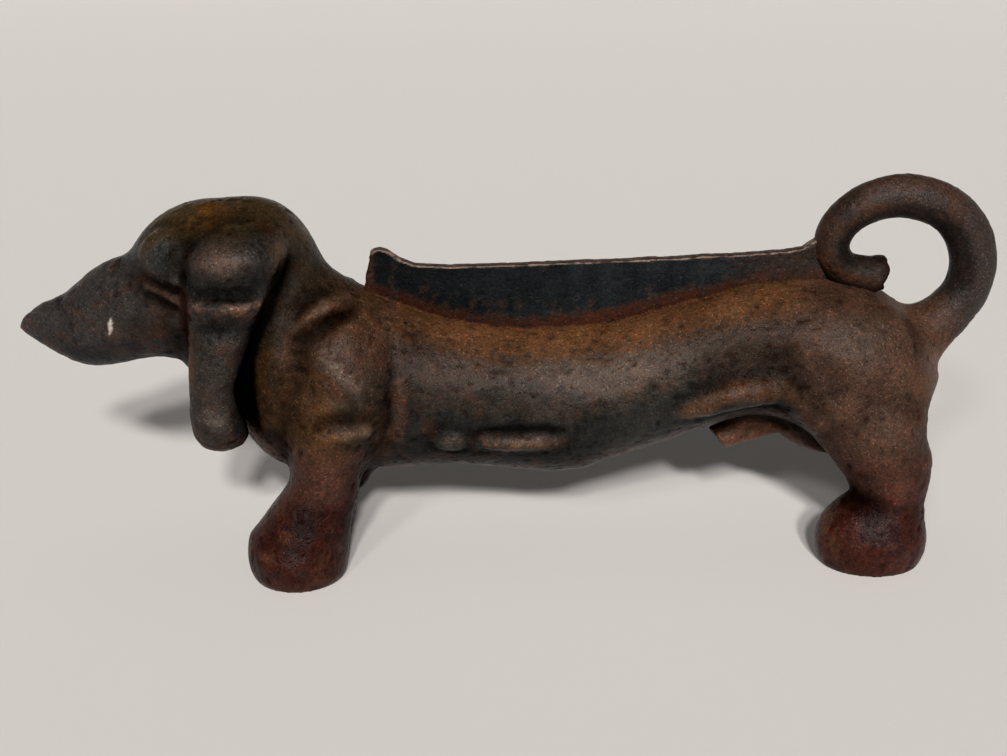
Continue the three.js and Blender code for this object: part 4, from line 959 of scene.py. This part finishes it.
# ------------------------------------------------------------------ materials
def iron(name, grain, mottle, speck, depth, metallic, gloss, speckle=(0.30, 0.25, 0.21, 1)):
    mat = bpy.data.materials.new(name)
    mat.use_nodes = True
    nt = mat.node_tree
    nt.nodes.clear()
    new, link = nt.nodes.new, nt.links.new
    out, bsdf = new("ShaderNodeOutputMaterial"), new("ShaderNodeBsdfPrincipled")
    link(bsdf.outputs["BSDF"], out.inputs["Surface"])
    bsdf.inputs["Metallic"].default_value = metallic
    where = new("ShaderNodeTexCoord").outputs["Object"]
    tint = new("ShaderNodeAttribute")
    tint.attribute_name = "tint"
    shut = new("ShaderNodeAttribute")
    shut.attribute_name = "open"

    def lumps(scale, detail, rough=0.6, distort=0.0):
        n = new("ShaderNodeTexNoise")
        n.inputs["Scale"].default_value = scale
        n.inputs["Detail"].default_value = detail
        n.inputs["Roughness"].default_value = rough
        n.inputs["Distortion"].default_value = distort
        link(where, n.inputs["Vector"])
        return n.outputs["Fac"]

    def between(v, a, b, c, d):
        n = new("ShaderNodeMapRange")
        for i, k in zip((a, b, c, d), ("From Min", "From Max", "To Min", "To Max")):
            n.inputs[k].default_value = i
        link(v, n.inputs["Value"])
        return n.outputs["Result"]

    def mix(kind, fac, a, b):
        n = new("ShaderNodeMixRGB")
        n.blend_type = kind
        for v, k in ((fac, "Fac"), (a, "Color1"), (b, "Color2")):
            if hasattr(v, "is_linked"):
                link(v, n.inputs[k])
            else:
                n.inputs[k].default_value = v
        return n.outputs["Color"]

    def maths(op, a, b):
        n = new("ShaderNodeMath")
        n.operation = op
        for v, i in ((a, 0), (b, 1)):
            if hasattr(v, "is_linked"):
                link(v, n.inputs[i])
            else:
                n.inputs[i].default_value = v
        return n.outputs["Value"]

    def cells(scale):
        n = new("ShaderNodeTexVoronoi")
        n.inputs["Scale"].default_value = scale
        link(where, n.inputs["Vector"])
        return n.outputs["Distance"], n.outputs["Color"]

    def dots(scale, inner, outer, share):
        """Round spots in a share of the cells."""
        far, pick = cells(scale)
        return maths("MULTIPLY", between(far, inner, outer, 1.0, 0.0), between(pick, 1 - share, 1.02 - share, 0.0, 1.0))

    broad, mid, small, fine = lumps(48, 4), lumps(210, 4, 0.6), lumps(560, 3, 0.6), lumps(1300, 2, 0.55)
    pit, hole, glint, rust = dots(260, 0.10, 0.22, 0.30), dots(430, 0.16, 0.32, 0.5), dots(600, 0.17, 0.34, 0.5), dots(520, 0.12, 0.22, speck)

    c = mix("MULTIPLY", 1.0, tint.outputs["Color"], between(broad, 0.3, 0.7, 1 - 0.25 * mottle, 1 + 0.25 * mottle))
    c = mix("MIX", between(mid, 0.52, 0.70, 0.0, 0.45 * mottle), c, mix("MULTIPLY", 1.0, c, (1.7, 0.98, 0.64, 1)))
    c = mix("MIX", between(mid, 0.44, 0.30, 0.0, 0.45 * mottle), c, mix("MULTIPLY", 1.0, c, (0.46, 0.50, 0.55, 1)))
    c = mix("MULTIPLY", 1.0, c, between(small, 0.3, 0.7, 1 - grain, 1 + grain))
    c = mix("MULTIPLY", 1.0, c, between(fine, 0.3, 0.7, 1 - grain, 1 + grain))
    # painted glints: bright whitish spots in the base colour stand in for sparkle off the grain
    c = mix("MIX", maths("MULTIPLY", glint, 0.85), c, mix("MULTIPLY", 1.0, c, (2.3, 2.6, 2.8, 1)))
    c = mix("MIX", maths("MULTIPLY", hole, 0.6), c, mix("MULTIPLY", 1.0, c, (0.36, 0.34, 0.34, 1)))
    c = mix("MIX", maths("MULTIPLY", pit, 0.7), c, mix("MULTIPLY", 1.0, c, (0.22, 0.20, 0.20, 1)))
    c = mix("MIX", rust, c, speckle)
    link(c, bsdf.inputs["Base Color"])

    link(maths("MULTIPLY", shut.outputs["Fac"], gloss), bsdf.inputs["Specular IOR Level"])
    r = maths("ADD", tint.outputs["Alpha"], between(small, 0.3, 0.7, -0.12, 0.12))
    link(maths("ADD", r, between(broad, 0.3, 0.7, -0.06, 0.06)), bsdf.inputs["Roughness"])

    b1 = new("ShaderNodeBump")
    b1.inputs["Strength"].default_value = 0.75
    b1.inputs["Distance"].default_value = 0.0006 * depth
    link(mid, b1.inputs["Height"])
    b2 = new("ShaderNodeBump")
    b2.inputs["Strength"].default_value = 0.8
    b2.inputs["Distance"].default_value = 0.00045 * depth
    link(maths("SUBTRACT", small, maths("MULTIPLY", pit, 0.6)), b2.inputs["Height"])
    link(b1.outputs["Normal"], b2.inputs["Normal"])
    b3 = new("ShaderNodeBump")
    b3.inputs["Strength"].default_value = 0.8
    b3.inputs["Distance"].default_value = 0.00026 * depth
    link(maths("SUBTRACT", fine, maths("MULTIPLY", hole, 0.5)), b3.inputs["Height"])
    link(b2.outputs["Normal"], b3.inputs["Normal"])
    link(b3.outputs["Normal"], bsdf.inputs["Normal"])
    return mat


CASTING = iron("rusted cast iron", 0.34, 0.9, 0.04, 1.2, 0.0, 1.0, (0.055, 0.036, 0.022, 1))
BLADE = iron("painted blade", 0.30, 0.7, 0.15, 1.0, 0.0, 1.1, (0.030, 0.018, 0.011, 1))
TAIL_IRON = iron("rusted tail", 0.34, 0.9, 0.04, 1.2, 0.0, 1.0, (0.050, 0.034, 0.022, 1))
STEEL = iron("old steel screw", 0.25, 0.7, 0.04, 0.5, 0.7, 1.6)


# ------------------------------------------------------------------ pieces
PIECES = []


def finish_piece(ob, rule, mat, node):
    PIECES.append(ob)
    paint(ob, rule)
    ob.data.materials.append(mat)
    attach(ob, "root")
    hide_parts(node)


V, Q = nets(casting, (-274, -66, -6), (262, 66, 214), BODY_VOX)
V = settle(V, casting)
V = smoothed(V, Q, 1, 0.25)
V = crisp(V, rump_and_tail, 0.75 * BODY_VOX, LAP)
N = facing(V, Q)
lift = 0.30 * fbm(V, 24, 1) + 0.20 * fbm(V, 8, 2) + 0.16 * noise(V, 3.1, 3)
lift -= 0.40 * step(0.52, 0.85, noise(V, 4.4, 4)) + 0.35 * step(0.5, 0.8, noise(V, 2.9, 5))
lift *= np.clip(V[:, 2] / 2.0, 0, 1)
bore = np.ones(len(V))
for sx, sz, _ in SCREWS.values():
    bore = np.minimum(bore, step(POCKET_R + 0.6, POCKET_R + 3, np.hypot(V[:, 0] - sx, V[:, 2] - sz)) + (V[:, 1] < 0) * (np.abs(V[:, 1]) > 30))
join = step(LAP + 0.3, LAP + 2.5, np.abs(plane(V)))
V = V + N * (lift * np.clip(bore, 0, 1) * join)[:, None]
V[:, 2] = np.maximum(V[:, 2], 0.0)
whole = make("whole_body", V, Q)
left = half(whole, "left_body", -1)
right = half(whole, "right_body", 1)
bpy.data.objects.remove(whole)
finish_piece(left, casting_tint, CASTING, "left_body_casting")
finish_piece(right, casting_tint, CASTING, "right_body_casting")

V, Q = nets(blade, (-81, -8, 128), (180, 8, 190), BLADE_VOX)
V = smoothed(V, Q, 1, 0.2)
N = facing(V, Q)
V = V + N * (0.10 * fbm(V, 9, 5) + 0.09 * noise(V, 2.6, 6) - 0.25 * step(0.5, 0.85, noise(V, 3.2, 7)))[:, None]
plate = make("blade_plate", V, Q)
finish_piece(plate, blade_tint, BLADE, "scraper_blade")

V, Q = nets(tail, (164, -22, 96), (276, 22, 222), TAIL_VOX)
V = smoothed(V, Q, 1, 0.2)
V = crisp(V, rump_and_tail, 0.75 * TAIL_VOX, -LAP)
N = facing(V, Q)
join = step(LAP + 0.3, LAP + 2.5, np.abs(plane(V)))
V = V + N * ((0.28 * fbm(V, 14, 8) + 0.14 * noise(V, 3.0, 9) - 0.4 * step(0.5, 0.85, noise(V, 4.2, 10))) * join)[:, None]
hook = make("tail_bar", V, Q)
finish_piece(hook, tail_tint, TAIL_IRON, "tail_hook")

for node, (sx, sz, turn) in SCREWS.items():
    V, Q = nets(screw(sx, sz, turn), (sx - 7, -28, sz - 7), (sx + 7, 33, sz + 7), SCREW_VOX)
    ob = make(node.replace("_screw", "") + "_cross_screw", smoothed(V, Q, 1, 0.2), Q)
    finish_piece(ob, screw_tint, STEEL, node)


# ------------------------------------------------------------------ stage
# a pale floor that curves up into a low wall all round
me = bpy.data.meshes.new("floor")
rings = [(3.0, 0.0), (5.5, 0.0)] + [(5.5 + 1.5 * math.sin(t), 1.5 - 1.5 * math.cos(t)) for t in np.linspace(0.0, math.pi / 2, 13)[1:]] + [(7.0, 2.1)]
turns = 96
co = [(0.0, 0.0, 0.0)] + [(r * math.cos(2 * math.pi * i / turns), r * math.sin(2 * math.pi * i / turns), h) for r, h in rings for i in range(turns)]
fan = [(0, 1 + i, 1 + (i + 1) % turns) for i in range(turns)]
bands = [(1 + k * turns + i, 1 + (k + 1) * turns + i, 1 + (k + 1) * turns + (i + 1) % turns, 1 + k * turns + (i + 1) % turns) for k in range(len(rings) - 1) for i in range(turns)]
me.from_pydata(co, [], fan + bands)
me.polygons.foreach_set("use_smooth", [True] * len(me.polygons))
floor = bpy.data.objects.new("floor", me)
bpy.context.scene.collection.objects.link(floor)
fm = bpy.data.materials.new("pale floor")
fm.use_nodes = True
fb = fm.node_tree.nodes["Principled BSDF"]
fb.inputs["Base Color"].default_value = (0.67, 0.655, 0.645, 1)
fb.inputs["Roughness"].default_value = 0.9
fb.inputs["Specular IOR Level"].default_value = 0.2
me.materials.append(fm)

world = bpy.data.worlds.new("room")
bpy.context.scene.world = world
world.use_nodes = True
wt = world.node_tree
bg = wt.nodes["Background"]
bg.inputs["Color"].default_value = (0.98, 0.98, 1.0, 1)
sky = wt.nodes.new("ShaderNodeSeparateXYZ")
wt.links.new(wt.nodes.new("ShaderNodeTexCoord").outputs["Generated"], sky.inputs["Vector"])
rise = wt.nodes.new("ShaderNodeMapRange")
for key, value in (("From Min", -0.1), ("From Max", 1.0), ("To Min", 0.012), ("To Max", 0.03)):
    rise.inputs[key].default_value = value
wt.links.new(sky.outputs["Z"], rise.inputs["Value"])
wt.links.new(rise.outputs["Result"], bg.inputs["Strength"])


def lamp(name, towards, power, soft, colour=(1, 0.96, 0.91)):
    li = bpy.data.lights.new(name, "SUN")
    li.energy = power
    li.angle = math.radians(soft)
    li.color = colour
    ob = bpy.data.objects.new(name, li)
    bpy.context.scene.collection.objects.link(ob)
    ob.rotation_euler = Vector(towards).to_track_quat("Z", "Y").to_euler()
    return ob


lamp("front lamp", (0.08, -0.855, 0.516), 2.44, 4)
lamp("second front lamp", (-0.02, -0.84, 0.55), 1.95, 4)
lamp("left lamp", (-0.30, -0.95, 0.66), 0.66, 7)
lamp("ceiling lamp", (0.05, 0.1, 1.0), 0.10, 40)
# a fill from behind, for the pieces only, so that the far side can be made out
fill = lamp("back lamp", (-0.2, 0.95, 0.2), 1.5, 25)
fill.visible_glossy = False
lit = bpy.data.collections.new("lit from behind")
for ob in PIECES:
    lit.objects.link(ob)
fill.light_linking.receiver_collection = lit

camera = bpy.data.cameras.new("camera")
camera.sensor_width = 36.0
camera.lens = 36.0 * 1513.0 / 1007.0
camera.clip_end = 50
eye = bpy.data.objects.new("camera", camera)
bpy.context.scene.collection.objects.link(eye)
el, dist, roll = math.radians(20.0), 0.848, math.radians(-0.74)
r, u, b = Vector((1, 0, 0)), Vector((0, math.sin(el), math.cos(el))), Vector((0, -math.cos(el), math.sin(el)))
target = Vector((X_SHIFT / 1000.0, 0, 0.1037))
pose = Matrix((r, u, b)).transposed().to_4x4()
eye.matrix_world = Matrix.Translation(target + b * dist) @ pose @ Matrix.Rotation(roll, 4, "Z")
bpy.context.scene.camera = eye
bpy.context.scene.view_settings.view_transform = "Standard"
